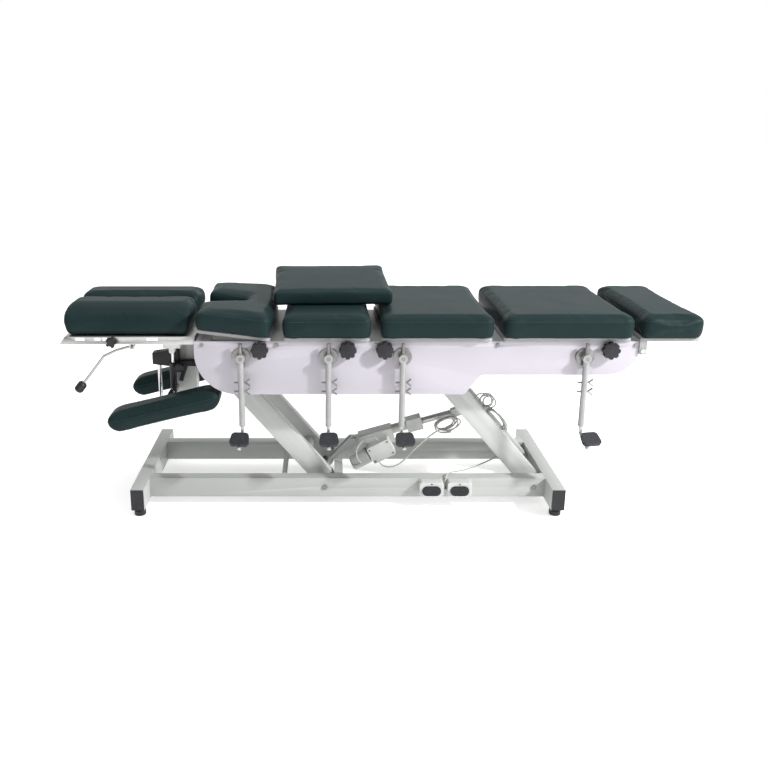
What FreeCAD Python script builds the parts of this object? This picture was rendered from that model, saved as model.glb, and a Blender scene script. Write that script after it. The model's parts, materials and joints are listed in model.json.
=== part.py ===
"""Powered chiropractic table with drop sections.

Millimetres, +Z up. The head end points to -X and the front long side to -Y.
The floor is Z = 0, and the origin is under the centre of the bounding box.
"""
import FreeCAD, Part
import math
import os

V = FreeCAD.Vector
X_AXIS = V(1, 0, 0)
Y_AXIS = V(0, 1, 0)
Z_AXIS = V(0, 0, 1)

# Driving sizes of the tabletop, along its length
tray_overhang = 9.0
head_length = 428.0
head_gap = 13.0
chest_length = 250.0
chest_gap = 38.0
abdominal_length = 292.0
abdominal_gap = 29.0
pelvic_length = 370.0
pelvic_gap = 31.0
leg_length = 422.0
leg_gap = 28.0
foot_length = 198.0
top_half_width = 267.0
head_half_width = 206.0
cushion_thickness = 80.0

# Driving sizes of the base
base_length = 1472.0
base_half_width = 283.0
base_centre_x = -98.4
foot_height = 29.0
bar_height = 75.0
bar_width = 45.6
rail_height = 70.0
rail_width = 42.6
rail_half_spread = 187.0
tube_wall = 3.0

# Driving sizes of the lift
arm_length = 587.0
arm_angle = 49.5
arm_depth = 70.0
arm_width = 40.0
arm_half_spread = 110.0
pivot_spacing = 731.6
foot_pivot_inset = 83.2
pivot_diameter = 20.0

# Clearances
running_gap = 0.05
soft_gap = 0.3
side_gap = 0.6
arm_side_gap = 2.2
cut_over = 1.0

# Places along the length that follow from the driving sizes
total_length = sum((tray_overhang, head_length, head_gap, chest_length, chest_gap, abdominal_length,
                    abdominal_gap, pelvic_length, pelvic_gap, leg_length, leg_gap, foot_length))
tray_x0 = -total_length / 2
head_x0 = tray_x0 + tray_overhang
head_x1 = head_x0 + head_length
chest_x0 = head_x1 + head_gap
chest_x1 = chest_x0 + chest_length
abdominal_x0 = chest_x1 + chest_gap
abdominal_x1 = abdominal_x0 + abdominal_length
pelvic_x0 = abdominal_x1 + abdominal_gap
pelvic_x1 = pelvic_x0 + pelvic_length
leg_x0 = pelvic_x1 + pelvic_gap
leg_x1 = leg_x0 + leg_length
foot_x0 = leg_x1 + leg_gap
foot_x1 = foot_x0 + foot_length

base_x0 = base_centre_x - base_length / 2
base_x1 = base_centre_x + base_length / 2
base_top = foot_height + bar_height
rail_bottom = base_top - rail_height
pivot_z = base_top - rail_height / 2
foot_pivot_x = base_x1 - foot_pivot_inset
head_pivot_x = foot_pivot_x - pivot_spacing
rail_inner = rail_half_spread - rail_width
arm_inner = arm_half_spread - arm_width
arm_cos = math.cos(math.radians(arm_angle))
arm_sin = math.sin(math.radians(arm_angle))
upper_pivot_z = pivot_z + arm_length * arm_sin
head_upper_x = head_pivot_x - arm_length * arm_cos
foot_upper_x = foot_pivot_x - arm_length * arm_cos

# Upper frame and tray heights, measured up from the upper pivots
frame_rise = 94.6
cross_height = 25.0
cross_width = 40.0
upper_rail_height = 50.0
upper_rail_width = 40.0
panel_half_spread = 230.0
panel_thickness = 3.0
tray_lift = 2.5
tray_thickness = 10.0
frame_top = upper_pivot_z + frame_rise
rail_top = frame_top - cross_height
upper_rail_bottom = rail_top - upper_rail_height
upper_rail_inner = arm_half_spread + arm_side_gap
tray_bottom = frame_top + tray_lift
tray_top = tray_bottom + tray_thickness
cushion_bottom = tray_top + soft_gap
panel_face = panel_half_spread + panel_thickness

# Directions closer than this count as parallel
parallel_share = 0.9


def box(x0, x1, y0, y1, z0, z1):
    """A block between two corners, given in any order."""
    size = (abs(x1 - x0), abs(y1 - y0), abs(z1 - z0))
    return Part.makeBox(*size, V(min(x0, x1), min(y0, y1), min(z0, z1)))


def rod(start, diameter, length, axis):
    """A round bar from a start point along an axis."""
    return Part.makeCylinder(diameter / 2, length, V(*start), axis)


def rod_between(start, end, diameter):
    """A round bar from one point to another."""
    span = V(*end) - V(*start)
    return Part.makeCylinder(diameter / 2, span.Length, V(*start), span)


def join(shapes):
    """One welded or moulded solid out of several overlapping shapes."""
    return shapes[0].multiFuse(shapes[1:]).removeSplitter()


def box_tube(x0, x1, y0, y1, z0, z1, along):
    """A rectangular steel tube, open at both ends along the named axis."""
    over = [tube_wall, tube_wall, tube_wall]
    over["xyz".index(along)] = -cut_over
    inside = box(x0 + over[0], x1 - over[0], y0 + over[1], y1 - over[1], z0 + over[2], z1 - over[2])
    return box(x0, x1, y0, y1, z0, z1).cut(inside)


def turned(shape, centre, degrees, axis=Y_AXIS):
    """A copy turned about an axis through a point."""
    copy = shape.copy()
    copy.rotate(V(*centre), axis, degrees)
    return copy


def moved(shape, dx, dy, dz):
    """A copy moved by a distance."""
    copy = shape.copy()
    copy.translate(V(dx, dy, dz))
    return copy


def edges_along(shape, axis):
    """The straight edges of a shape that run along an axis."""
    lines = [e for e in shape.Edges if isinstance(e.Curve, Part.Line)]
    return [e for e in lines if abs(e.tangentAt(e.FirstParameter).dot(axis)) > parallel_share]


def corner_arc(before, corner, after):
    """The arc from before to after that is tangent to both legs at the corner, and its radius."""
    leg = (before - corner).Length
    middle = (before + after) / 2
    half_chord = (after - before).Length / 2
    height = (corner - middle).Length
    radius = leg * half_chord / height
    outward = (corner - middle).normalize()
    centre = corner - outward * math.hypot(leg, radius)
    return Part.Arc(before, centre + outward * radius, after).toShape(), radius


def outline(corners, z, bow_share=0.0):
    """A closed counter-clockwise wire through corners (x, y, radius), its sides bowed inwards."""
    count = len(corners)
    points = [V(x, y, z) for x, y, radius in corners]
    entry, leave, edges = [], [], []
    for i, point in enumerate(points):
        to_last = (points[i - 1] - point).normalize()
        to_next = (points[(i + 1) % count] - point).normalize()
        trim = corners[i][2] * math.tan((math.pi - to_last.getAngle(to_next)) / 2)
        entry.append(point + to_last * trim)
        leave.append(point + to_next * trim)
    for i, point in enumerate(points):
        if corners[i][2] > 0:
            edges.append(corner_arc(entry[i], point, leave[i])[0])
        start, end = leave[i], entry[(i + 1) % count]
        span = end - start
        if bow_share > 0:
            bowed = (start + end) / 2 + V(-span.y, span.x, 0) * bow_share
            edges.append(Part.Arc(start, bowed, end).toShape())
        else:
            edges.append(Part.LineSegment(start, end).toShape())
    return Part.Wire(edges)


def side_plate(corners, y_back, thickness):
    """A flat plate in the XZ plane, from y_back towards -Y, through corners (x, z, radius)."""
    flat = Part.Face(outline(corners, 0)).extrude(V(0, 0, thickness))
    flat.rotate(V(0, 0, 0), X_AXIS, 90)
    return moved(flat, 0, y_back, 0)


def mirrored(shape):
    """The same piece on the other long side."""
    return shape.mirror(V(0, 0, 0), Y_AXIS)


# Welded base frame
tie_diameter = 19.0
tie_from_pivot = 146.0
beam_width = 28.4
beam_height = 62.0
lug_from_pivot = 15.0
heel_gap = 1.0
cap_thickness = 4.0
cap_step = 1.2
cap_tongue = 22.0
foot_diameter = 40.0
foot_disc = 18.0
foot_chamfer = 2.0
stud_diameter = 12.0
foot_end_inset = 32.0
pivot_bolt = 10.0
pivot_head_diameter = 17.0
pivot_head_length = 3.5


def base_frame():
    """Two end bars across and two long rails between them."""
    tubes = []
    for x0 in (base_x0, base_x1 - bar_width):
        tubes.append(box_tube(x0, x0 + bar_width, -base_half_width, base_half_width,
                              foot_height, base_top, "y"))
    for y0 in (-rail_half_spread, rail_inner):
        rail = box_tube(base_x0 + bar_width, base_x1 - bar_width, y0, y0 + rail_width,
                        rail_bottom, base_top, "x")
        for x in (head_pivot_x, foot_pivot_x):
            rail = rail.cut(rod((x, y0 - cut_over, pivot_z), pivot_bolt,
                                rail_width + 2 * cut_over, Y_AXIS))
        tubes.append(rail)
    return tubes


def base_end_caps():
    """Four black plastic plugs that close the end bars."""
    caps = []
    tongue_step = tube_wall + cap_step
    for x0 in (base_x0, base_x1 - bar_width):
        plate = box(x0 + cap_step, x0 + bar_width - cap_step, -base_half_width,
                    -base_half_width - cap_thickness, foot_height + cap_step, base_top - cap_step)
        tongue = box(x0 + tongue_step, x0 + bar_width - tongue_step, -base_half_width - cap_step,
                     -base_half_width + cap_tongue, foot_height + tongue_step,
                     base_top - tongue_step)
        cap = join([plate, tongue])
        caps.extend([cap, mirrored(cap)])
    return caps


def levelling_feet():
    """Four round screw feet under the ends of the end bars."""
    feet = []
    for x0 in (base_x0, base_x1 - bar_width):
        x = x0 + bar_width / 2
        y = base_half_width - foot_end_inset
        disc = rod((x, -y, 0), foot_diameter, foot_disc, Z_AXIS)
        disc = disc.makeChamfer(foot_chamfer, [e for e in disc.Edges if e.isClosed()])
        stud = rod((x, -y, foot_disc / 2), stud_diameter, foot_height - foot_disc / 2, Z_AXIS)
        foot = join([disc, stud])
        feet.extend([foot, mirrored(foot)])
    return feet


def lower_pivot_bolts():
    """Two pivot shafts between the rails, each held by a bolt through both rails."""
    bolts = []
    for x in (head_pivot_x, foot_pivot_x):
        shaft = rod((x, -rail_inner, pivot_z), pivot_diameter, 2 * rail_inner, Y_AXIS)
        bolt = rod((x, -rail_half_spread, pivot_z), pivot_bolt, 2 * rail_half_spread, Y_AXIS)
        head = rod((x, -rail_half_spread - pivot_head_length, pivot_z), pivot_head_diameter,
                   pivot_head_length, Y_AXIS)
        bolts.append(join([shaft, bolt, head, mirrored(head)]))
    return bolts


# Foot switches on the front rail
switch_width = 84.0
switch_height = 52.0
switch_depth = 34.0
switch_gap = 13.0
switch_from_pivot = 403.7
switch_lift = 16.0
switch_round = 9.0
switch_edge = 2.0
pad_length = 64.0
pad_height = 34.0
pad_stand = 5.0
pad_sunk = 6.0
pad_travel = 3.0
pad_drop = 5.0
gland_height = 8.0
gland_depth = 10.0
switch_face = -rail_half_spread - switch_depth
switch_bottom = rail_bottom + switch_lift
pad_z = switch_bottom + switch_height / 2 - pad_drop
switch_up_x = foot_pivot_x - switch_from_pivot + switch_width / 2
switch_down_x = switch_up_x + switch_width + switch_gap


def oval(x, y, z, length, height, depth):
    """A flat oval block from y towards the rail."""
    half = (length - height) / 2
    ends = [rod((x + side * half, y, z), height, depth, Y_AXIS) for side in (-1, 1)]
    return join(ends + [box(x - half, x + half, y, y + depth, z - height / 2, z + height / 2)])


def foot_switch_housings():
    """Two plastic housings with an oval well for each pad, and the lead's gland between them."""
    pieces = []
    for x in (switch_up_x, switch_down_x):
        shell = box(x - switch_width / 2, x + switch_width / 2, switch_face, -rail_half_spread,
                    switch_bottom, switch_bottom + switch_height)
        shell = shell.makeFillet(switch_round, edges_along(shell, Y_AXIS))
        rim = [e for e in shell.Edges if abs(e.CenterOfMass.y - switch_face) < running_gap]
        shell = shell.makeFillet(switch_edge, rim)
        well = oval(x, switch_face - cut_over, pad_z, pad_length + 2 * side_gap,
                    pad_height + 2 * side_gap, pad_sunk + pad_travel + side_gap + cut_over)
        pieces.append(shell.cut(well))
    left = switch_up_x + switch_width / 2
    gland_bottom = switch_bottom + switch_round
    pieces.append(box(left, left + switch_gap, -rail_half_spread - gland_depth, -rail_half_spread,
                      gland_bottom, gland_bottom + gland_height))
    return pieces


def foot_switch_pad(x):
    """An oval rubber pad standing proud of its well."""
    return [oval(x, switch_face - pad_stand, pad_z, pad_length, pad_height, pad_stand + pad_sunk)]


# Lift arms, built lying along +X from the lower pivot
arm_overrun = 32.0
boss_diameter = 36.0
arm_tie = 40.0
rod_grip = 303.0
grip_to_tie = 80.0
head_tie_shares = (0.16, 0.80)
foot_upper_tie_share = 0.86
clevis_pin = 12.0
lug_radius = 18.0
fork_gap = 14.0
fork_ear = 6.0
fork_depth = 48.0
arm_lug = fork_gap - 2 * side_gap


def arm_side():
    """The front box tube of a pair, with a round heel and a bush inside its upper end."""
    tube = box_tube(0, arm_length + arm_overrun, -arm_half_spread, -arm_inner,
                    -arm_depth / 2, arm_depth / 2, "x")
    heel = rod((0, -arm_half_spread, 0), arm_depth, arm_width, Y_AXIS)
    bush = rod((arm_length, -arm_half_spread, 0), boss_diameter, arm_width, Y_AXIS)
    return join([tube, heel, bush])


def arm_tie_at(place):
    """A round tie between the two tubes of a pair."""
    return rod((place, -arm_inner, 0), arm_tie, 2 * arm_inner, Y_AXIS)


def arm_pair(tie_places):
    """Two box tubes side by side, a spacer bush beside each heel, and the ties between them."""
    spacer = rod((0, side_gap - rail_inner, 0), boss_diameter,
                 rail_inner - side_gap - arm_half_spread, Y_AXIS)
    pieces = []
    for piece in (arm_side(), spacer):
        for place in (0, arm_length):
            piece = piece.cut(rod((place, -rail_half_spread, 0), pivot_diameter + 2 * running_gap,
                                  rail_half_spread, Y_AXIS))
        pieces.extend([piece, mirrored(piece)])
    return pieces + [arm_tie_at(place) for place in tie_places]


def stood(shape, pivot_x):
    """Raises an arm piece to its slope, leaning towards the head end."""
    flipped = shape.mirror(V(0, 0, 0), X_AXIS)
    return moved(turned(flipped, (0, 0, 0), arm_angle), pivot_x, 0, pivot_z)


def head_lift_arm():
    """The pair of arms nearest the head end."""
    pieces = arm_pair([arm_length * share for share in head_tie_shares])
    return [stood(piece, head_pivot_x) for piece in pieces]


def foot_lift_arm():
    """The pair that the actuator pushes, with a lug plate and pin for the rod end."""
    tie_place = rod_grip + grip_to_tie
    pieces = arm_pair((tie_place, arm_length * foot_upper_tie_share))
    plate = box(rod_grip, tie_place, -arm_lug / 2, arm_lug / 2, -clevis_pin, clevis_pin)
    nose = rod((rod_grip, -arm_lug / 2, 0), 2 * lug_radius, arm_lug, Y_AXIS)
    pin = rod((rod_grip, -arm_lug / 2, 0), clevis_pin, arm_lug, Y_AXIS)
    lug = join([plate, nose]).cut(arm_tie_at(tie_place)).cut(pin)
    return [stood(piece, foot_pivot_x) for piece in pieces + [lug, pin]]


# Actuator, built along +X from its rear pin
actuator_from_pivot = 102.2
actuator_rise = 104.0
actuator_half_width = 28.0
housing_start = 25.0
housing_end = 150.0
housing_above = 17.0
housing_below = 45.0
housing_round = 7.0
outer_tube = 34.0
outer_tube_end = 262.0
block_start = 205.0
block_end = 262.0
block_half_width = 24.0
block_half_height = 23.0
inner_rod = 24.0
fork_height = 30.0
pin_head_diameter = 18.0
pin_head_length = 3.0
eye_diameter = 26.0
eye_width = 20.0
lug_plate = 10.0
well_start = 60.0
rod_start = 170.0
motor_diameter = 54.0
motor_length = 68.0
motor_y = -49.0
motor_start_u = 43.0
motor_below = 56.0
motor_tilt = 12.3
box_length = 89.0
box_height = 65.0
box_depth = 38.0
box_centre_u = 92.4
box_below = 48.0
screw_diameter = 7.0
screw_height = 2.0
screw_inset = 9.0

actuator_x = head_pivot_x + actuator_from_pivot
actuator_z = pivot_z + actuator_rise
grip_x = foot_pivot_x - rod_grip * arm_cos
grip_z = pivot_z + rod_grip * arm_sin
actuator_span = math.hypot(grip_x - actuator_x, grip_z - actuator_z)
actuator_tilt = math.degrees(math.atan2(grip_z - actuator_z, grip_x - actuator_x))


def on_actuator(shape):
    """Places a shape built along +X from the rear pin onto the sloping actuator."""
    return moved(turned(shape, (0, 0, 0), -actuator_tilt), actuator_x, 0, actuator_z)


def base_cross_members():
    """Thin tie tube, actuator beam with its two lugs, and the actuator's rear pin."""
    tie_x = head_pivot_x - tie_from_pivot
    tie = rod((tie_x, -rail_inner, pivot_z), tie_diameter, 2 * rail_inner, Y_AXIS)
    x0 = head_pivot_x + arm_depth / 2 + heel_gap
    x1 = x0 + beam_width
    lug_x0 = head_pivot_x + lug_from_pivot
    beam = box_tube(x0, x1, -rail_inner, rail_inner, base_top - beam_height, base_top, "y")
    lug_back = -eye_width / 2 - side_gap
    reach = lug_plate - lug_back
    pin = rod((actuator_x, -reach, actuator_z), clevis_pin, 2 * reach, Y_AXIS)
    corners = [(lug_x0, base_top, 0), (x1, base_top, 0),
               (actuator_x + clevis_pin, actuator_z - clevis_pin, 0),
               (actuator_x + clevis_pin, actuator_z + clevis_pin, clevis_pin / 2),
               (actuator_x - clevis_pin, actuator_z + clevis_pin, clevis_pin / 2)]
    lug = side_plate(corners, lug_back, lug_plate).cut(pin)
    return [tie, beam, lug, mirrored(lug), pin]


def actuator_housing():
    """Rear eye, gear housing, outer tube and block as one casting with a bore for the rod."""
    half = actuator_half_width
    eye = rod((0, -eye_width / 2, 0), eye_diameter, eye_width, Y_AXIS)
    neck = box(0, housing_start + cut_over, -eye_width / 2, eye_width / 2,
               -eye_diameter / 2, eye_diameter / 2)
    housing = box(housing_start, housing_end, -half, half, -housing_below, housing_above)
    housing = housing.makeFillet(housing_round, edges_along(housing, X_AXIS))
    tube = rod((housing_start, 0, 0), outer_tube, outer_tube_end - housing_start, X_AXIS)
    block = box(block_start, block_end, -block_half_width, block_half_width,
                -block_half_height, block_half_height)
    body = join([eye, neck, housing, tube, block])
    body = body.cut(rod((0, -half, 0), clevis_pin + 2 * running_gap, 2 * half, Y_AXIS))
    return body.cut(rod((well_start, 0, 0), inner_rod + 2 * running_gap, outer_tube_end, X_AXIS))


def actuator_body():
    """The actuator's casting, with its motor seated against the housing."""
    casting = actuator_housing()
    can = rod((-motor_length, motor_y, 0), motor_diameter, motor_length, X_AXIS)
    far_end = [e for e in can.Edges if e.isClosed() and e.CenterOfMass.x < -motor_length / 2]
    can = can.makeFillet(housing_round, far_end)
    can = moved(turned(can, (0, 0, 0), -motor_tilt), motor_start_u, 0, -motor_below)
    return [on_actuator(casting), on_actuator(can.cut(casting))]


def control_box():
    """Light box with a screwed lid, fixed to the front of the actuator's housing."""
    back = -actuator_half_width
    front = back - box_depth
    shell = box(-box_length / 2, box_length / 2, front, back, -box_height / 2, box_height / 2)
    pieces = [shell.makeFillet(housing_round, edges_along(shell, Y_AXIS))]
    for x in (-box_length / 2 + screw_inset, box_length / 2 - screw_inset):
        for z in (-box_height / 2 + screw_inset, box_height / 2 - screw_inset):
            pieces.append(rod((x, front - screw_height, z), screw_diameter, screw_height, Y_AXIS))
    can = rod((-motor_length - box_length, motor_y, 0), motor_diameter,
              motor_length + box_length, X_AXIS)
    can = moved(turned(can, (0, 0, 0), -motor_tilt), motor_start_u, 0, -motor_below)
    placed = [moved(turned(p, (0, 0, 0), -motor_tilt), box_centre_u, 0, -box_below) for p in pieces]
    return [on_actuator(placed[0].cut(can))] + [on_actuator(p) for p in placed[1:]]


def actuator_rod():
    """Inner rod that slides in the casting, with a fork that straddles the arm's lug."""
    root = actuator_span - fork_depth
    half = fork_gap / 2
    inner = rod((rod_start, 0, 0), inner_rod, root - rod_start, X_AXIS)
    bridge = box(root - fork_height, root, -half - fork_ear, half + fork_ear,
                 -fork_height / 2, fork_height / 2)
    ear = box(root - cut_over, actuator_span, -half - fork_ear, -half,
              -fork_height / 2, fork_height / 2)
    tip = rod((actuator_span, -half - fork_ear, 0), fork_height, fork_ear, Y_AXIS)
    pin_head = rod((actuator_span, -half - fork_ear - pin_head_length, 0), pin_head_diameter,
                   pin_head_length + fork_ear / 2, Y_AXIS)
    fork = join([inner, bridge, ear, tip, pin_head, mirrored(ear), mirrored(tip),
                 mirrored(pin_head)])
    return [on_actuator(fork)]


# Hinges between the cross members and the drop sections
hinge_pin = 8.0
hinge_reach = 10.0
hinge_drop = 12.0
hinge_radius = 8.0
hinge_width = 24.0
hinge_lug = 6.0
hinge_spread_share = 0.65
hinge_z = frame_top - hinge_drop
hinge_y = panel_half_spread * hinge_spread_share
head_cross_inset = 24.0
chest_cross_x = (chest_x1 + abdominal_x0) / 2
middle_cross_x = (abdominal_x1 + pelvic_x0) / 2
leg_cross_x = (pelvic_x1 + leg_x0) / 2
foot_cross_x = (leg_x1 + foot_x0) / 2
chest_hinge_x = chest_cross_x - cross_width / 2 - hinge_reach
abdominal_hinge_x = chest_cross_x + cross_width / 2 + hinge_reach
pelvic_hinge_x = middle_cross_x + cross_width / 2 + hinge_reach
leg_hinge_x = foot_cross_x - cross_width / 2 - hinge_reach
cross_places = (chest_x0 + head_cross_inset, chest_cross_x, middle_cross_x, leg_cross_x, foot_cross_x)
hinge_places = ((chest_hinge_x, chest_cross_x), (abdominal_hinge_x, chest_cross_x),
                (pelvic_hinge_x, middle_cross_x), (leg_hinge_x, foot_cross_x))

# Foot section's pivot bolts, outside the side panels
foot_pivot_drop = 31.0
foot_pivot_reach = 23.0
foot_bolt = 10.0
foot_bolt_head = 16.0
foot_lug_width = 24.0
foot_lug_inner = 8.0
foot_tab = 5.0
foot_tab_gap = 1.0
foot_hinge_x = foot_cross_x + foot_pivot_reach
foot_hinge_z = frame_top - foot_pivot_drop

# Panel screws
end_plate = 6.0
panel_screw = 6.0
panel_screw_head = 12.0
panel_screw_rise = 4.0

# Spine under the cross members that carries the head column
spine_half_width = 30.0
tilt_inset = 44.0
head_tray_gap = 2.0
column_past_pin = 15.0
head_tray_x1 = chest_x0 - head_tray_gap
tilt_x = head_tray_x1 - tilt_inset
tilt_z = rail_top
column_x1 = tilt_x + column_past_pin


def hinge_lugs(hinge_x, cross_x, y):
    """The two plates on a cross member that hold one hinge pin."""
    plates = []
    for start in (y - hinge_width / 2 - side_gap - hinge_lug, y + hinge_width / 2 + side_gap):
        plate = box(hinge_x, cross_x, start, start + hinge_lug,
                    hinge_z - hinge_radius, hinge_z + hinge_radius)
        plates.append(join([plate, rod((hinge_x, start, hinge_z), 2 * hinge_radius,
                                       hinge_lug, Y_AXIS)]))
    return plates


def hinge_pins(hinge_x, y):
    """One hinge pin, as long as its two plates are apart."""
    half = hinge_width / 2 + side_gap + hinge_lug
    return rod((hinge_x, y - half, hinge_z), hinge_pin, 2 * half, Y_AXIS)


def cross_member(x):
    """A box tube across the frame, closed by end plates that take the panel screws."""
    x0, x1 = x - cross_width / 2, x + cross_width / 2
    tube = box_tube(x0, x1, -panel_half_spread, panel_half_spread, rail_top, frame_top, "y")
    plate = box(x0, x1, -panel_half_spread, end_plate - panel_half_spread, rail_top, frame_top)
    pieces = [tube, plate, mirrored(plate)]
    for hinge_x, cross_x in hinge_places:
        if cross_x == x:
            for y in (-hinge_y, hinge_y):
                pieces.extend(hinge_lugs(hinge_x, cross_x, y))
    if x == foot_cross_x:
        lug = side_plate([(foot_hinge_x - foot_lug_width, foot_hinge_z - foot_bolt, 0),
                          (foot_hinge_x + foot_bolt, foot_hinge_z - foot_bolt, foot_bolt / 2),
                          (foot_hinge_x + foot_bolt, foot_hinge_z + foot_bolt, foot_bolt / 2),
                          (x1, rail_top + tube_wall, 0),
                          (foot_hinge_x - foot_lug_width, rail_top + tube_wall, 0)],
                         foot_lug_inner - panel_half_spread, foot_lug_inner)
        pieces.extend([lug, mirrored(lug)])
    member = join(pieces)
    hollow = box(x0 + tube_wall, x1 - tube_wall, end_plate - panel_half_spread,
                 panel_half_spread - end_plate, rail_top + tube_wall, frame_top - tube_wall)
    member = member.cut(hollow)
    for hinge_x, cross_x in hinge_places:
        if cross_x == x:
            member = member.cut(hinge_pins(hinge_x, -hinge_y)).cut(hinge_pins(hinge_x, hinge_y))
    return member.cut(rod((x, -panel_face, (rail_top + frame_top) / 2), panel_screw,
                          2 * panel_face, Y_AXIS))


def foot_pivot_bolt():
    """The front bolt that the foot section swings on."""
    start = -panel_face - foot_tab_gap - foot_tab - side_gap
    shank = rod((foot_hinge_x, start, foot_hinge_z), foot_bolt,
                -panel_half_spread + foot_lug_inner - start, Y_AXIS)
    head = rod((foot_hinge_x, start - tube_wall, foot_hinge_z), foot_bolt_head, tube_wall, Y_AXIS)
    return join([shank, head])


def upper_frame():
    """Two long rails, five cross members, the spine, hinge pins and foot pivot bolts."""
    rail_x0 = chest_x0
    rail_x1 = foot_cross_x + cross_width / 2
    rail = box_tube(rail_x0, rail_x1, -upper_rail_inner - upper_rail_width, -upper_rail_inner,
                    upper_rail_bottom, rail_top, "x")
    spine = box_tube(column_x1, chest_cross_x + cross_width / 2, -spine_half_width,
                     spine_half_width, upper_rail_bottom, rail_top, "x")
    pieces = [rail, mirrored(rail), spine]
    bolt = foot_pivot_bolt()
    for x in cross_places:
        member = cross_member(x)
        if x == foot_cross_x:
            member = member.cut(bolt).cut(mirrored(bolt))
        pieces.append(member)
    pieces.extend([bolt, mirrored(bolt)])
    for hinge_x, cross_x in hinge_places:
        pieces.extend([hinge_pins(hinge_x, -hinge_y), hinge_pins(hinge_x, hinge_y)])
    return pieces


# Upper pivot lugs
pivot_lug = 8.0
pivot_lug_half = 30.0
pivot_lug_drop = 25.0
pin_past_lug = 3.7


def upper_pivot_lugs():
    """Plates under the upper rails, and the two pins that the arms carry the frame by."""
    pieces = []
    for x in (head_upper_x, foot_upper_x):
        reach = upper_rail_inner + pivot_lug + pin_past_lug
        pin = rod((x, -reach, upper_pivot_z), pivot_diameter, 2 * reach, Y_AXIS)
        corners = [(x - pivot_lug_half, upper_pivot_z - pivot_lug_drop, pivot_diameter / 2),
                   (x + pivot_lug_half, upper_pivot_z - pivot_lug_drop, pivot_diameter / 2),
                   (x + pivot_lug_half, upper_rail_bottom, 0),
                   (x - pivot_lug_half, upper_rail_bottom, 0)]
        lug = side_plate(corners, -upper_rail_inner, pivot_lug).cut(pin)
        pieces.extend([lug, mirrored(lug), pin])
    return pieces


# Side panels, and each lever and knob at a share of its own section
panel_past_cross = 21.0
panel_top_drop = 2.0
panel_deep = 183.0
panel_shallow = 115.0
panel_head_radius = 140.0
panel_foot_radius = 112.0
panel_step_share = 0.609
panel_step_run = 50.0
panel_step_round = 22.0
lever_shares = (0.6096, 0.5196, 0.2000, 0.6422)
knob_shares = (0.8581, 0.7344, 0.0396, 0.8302)
lever_drop = 50.0
knob_drop = 25.0
panel_x0 = head_tray_x1
panel_x1 = foot_cross_x + panel_past_cross
panel_length = panel_x1 - panel_x0
panel_top = tray_bottom - panel_top_drop
lever_z = frame_top - lever_drop
knob_z = frame_top - knob_drop
section_ends = ((chest_x0, chest_x1), (abdominal_x0, abdominal_x1), (pelvic_x0, pelvic_x1),
                (leg_x0, leg_x1))
lever_places = [x0 + (x1 - x0) * share for (x0, x1), share in zip(section_ends, lever_shares)]
knob_places = [x0 + (x1 - x0) * share for (x0, x1), share in zip(section_ends, knob_shares)]

# Lever sizes
flange_diameter = 60.0
flange_thickness = 10.0
spigot_diameter = 14.0
spigot_length = 27.0
hub_diameter = 28.0
hub_length = 25.0
lever_tube = 20.0
lever_reach = 235.0
pedal_rod = 12.0
bore_top_share = 0.85
upper_rod_length = 49.0
wing_drops = (83.0, 114.0)
wing_stud = 6.0
wing_stud_left = 23.0
wing_right = 17.0
wing_length = 15.0
wing_thick = 4.0
wing_width = 7.0
wing_angle = 38.0
flange_face = -panel_face - flange_thickness
lever_y = flange_face - side_gap - hub_length / 2 - cut_over

# Star knob sizes
knob_diameter = 58.0
knob_lobes = 8
knob_lobe_share = 0.30
knob_thickness = 20.0
knob_stem = 8.0
knob_stem_inside = 18.0
knob_gap = 9.0


def side_panel():
    """The front sheet panel, rounded at both ends and stepped up over the foot arms."""
    step_x = panel_x0 + panel_length * panel_step_share + panel_step_run / 2
    deep = panel_top - panel_deep
    shallow = panel_top - panel_shallow
    corners = [(panel_x0, deep, panel_head_radius),
               (step_x - panel_step_run / 2, deep, panel_step_round),
               (step_x + panel_step_run / 2, shallow, panel_step_round),
               (panel_x1, shallow, panel_foot_radius),
               (panel_x1, panel_top, 0), (panel_x0, panel_top, 0)]
    panel = side_plate(corners, -panel_half_spread, panel_thickness)
    for x in cross_places:
        panel = panel.cut(rod((x, -panel_face - cut_over, (rail_top + frame_top) / 2), panel_screw,
                              panel_thickness + 2 * cut_over, Y_AXIS))
    return panel


def side_panel_front():
    """The front panel with the holes of the drop knobs."""
    panel = side_panel()
    for x in knob_places:
        panel = panel.cut(rod((x, -panel_face - cut_over, knob_z), knob_stem + 2 * running_gap,
                              panel_thickness + 2 * cut_over, Y_AXIS))
    return [panel]


def side_panel_rear():
    """The rear panel, the front one mirrored and without knobs."""
    return [mirrored(side_panel())]


def panel_bolts():
    """Button head screws through both panels into the cross members."""
    screws = []
    z = (rail_top + frame_top) / 2
    for x in cross_places:
        shank = rod((x, -panel_face, z), panel_screw, panel_thickness + end_plate, Y_AXIS)
        head = rod((x, -panel_face - panel_screw_rise, z), panel_screw_head,
                   panel_screw_rise, Y_AXIS)
        screw = join([shank, head])
        screws.extend([screw, mirrored(screw)])
    return screws


def lever_flanges():
    """Four round flanges on the front panel, each with the spigot that a lever swings on."""
    pieces = []
    for x in lever_places:
        disc = rod((x, flange_face, lever_z), flange_diameter, flange_thickness, Y_AXIS)
        spigot = rod((x, flange_face - spigot_length, lever_z), spigot_diameter,
                     spigot_length + cut_over, Y_AXIS)
        pieces.append(join([disc, spigot]))
    return pieces


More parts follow.
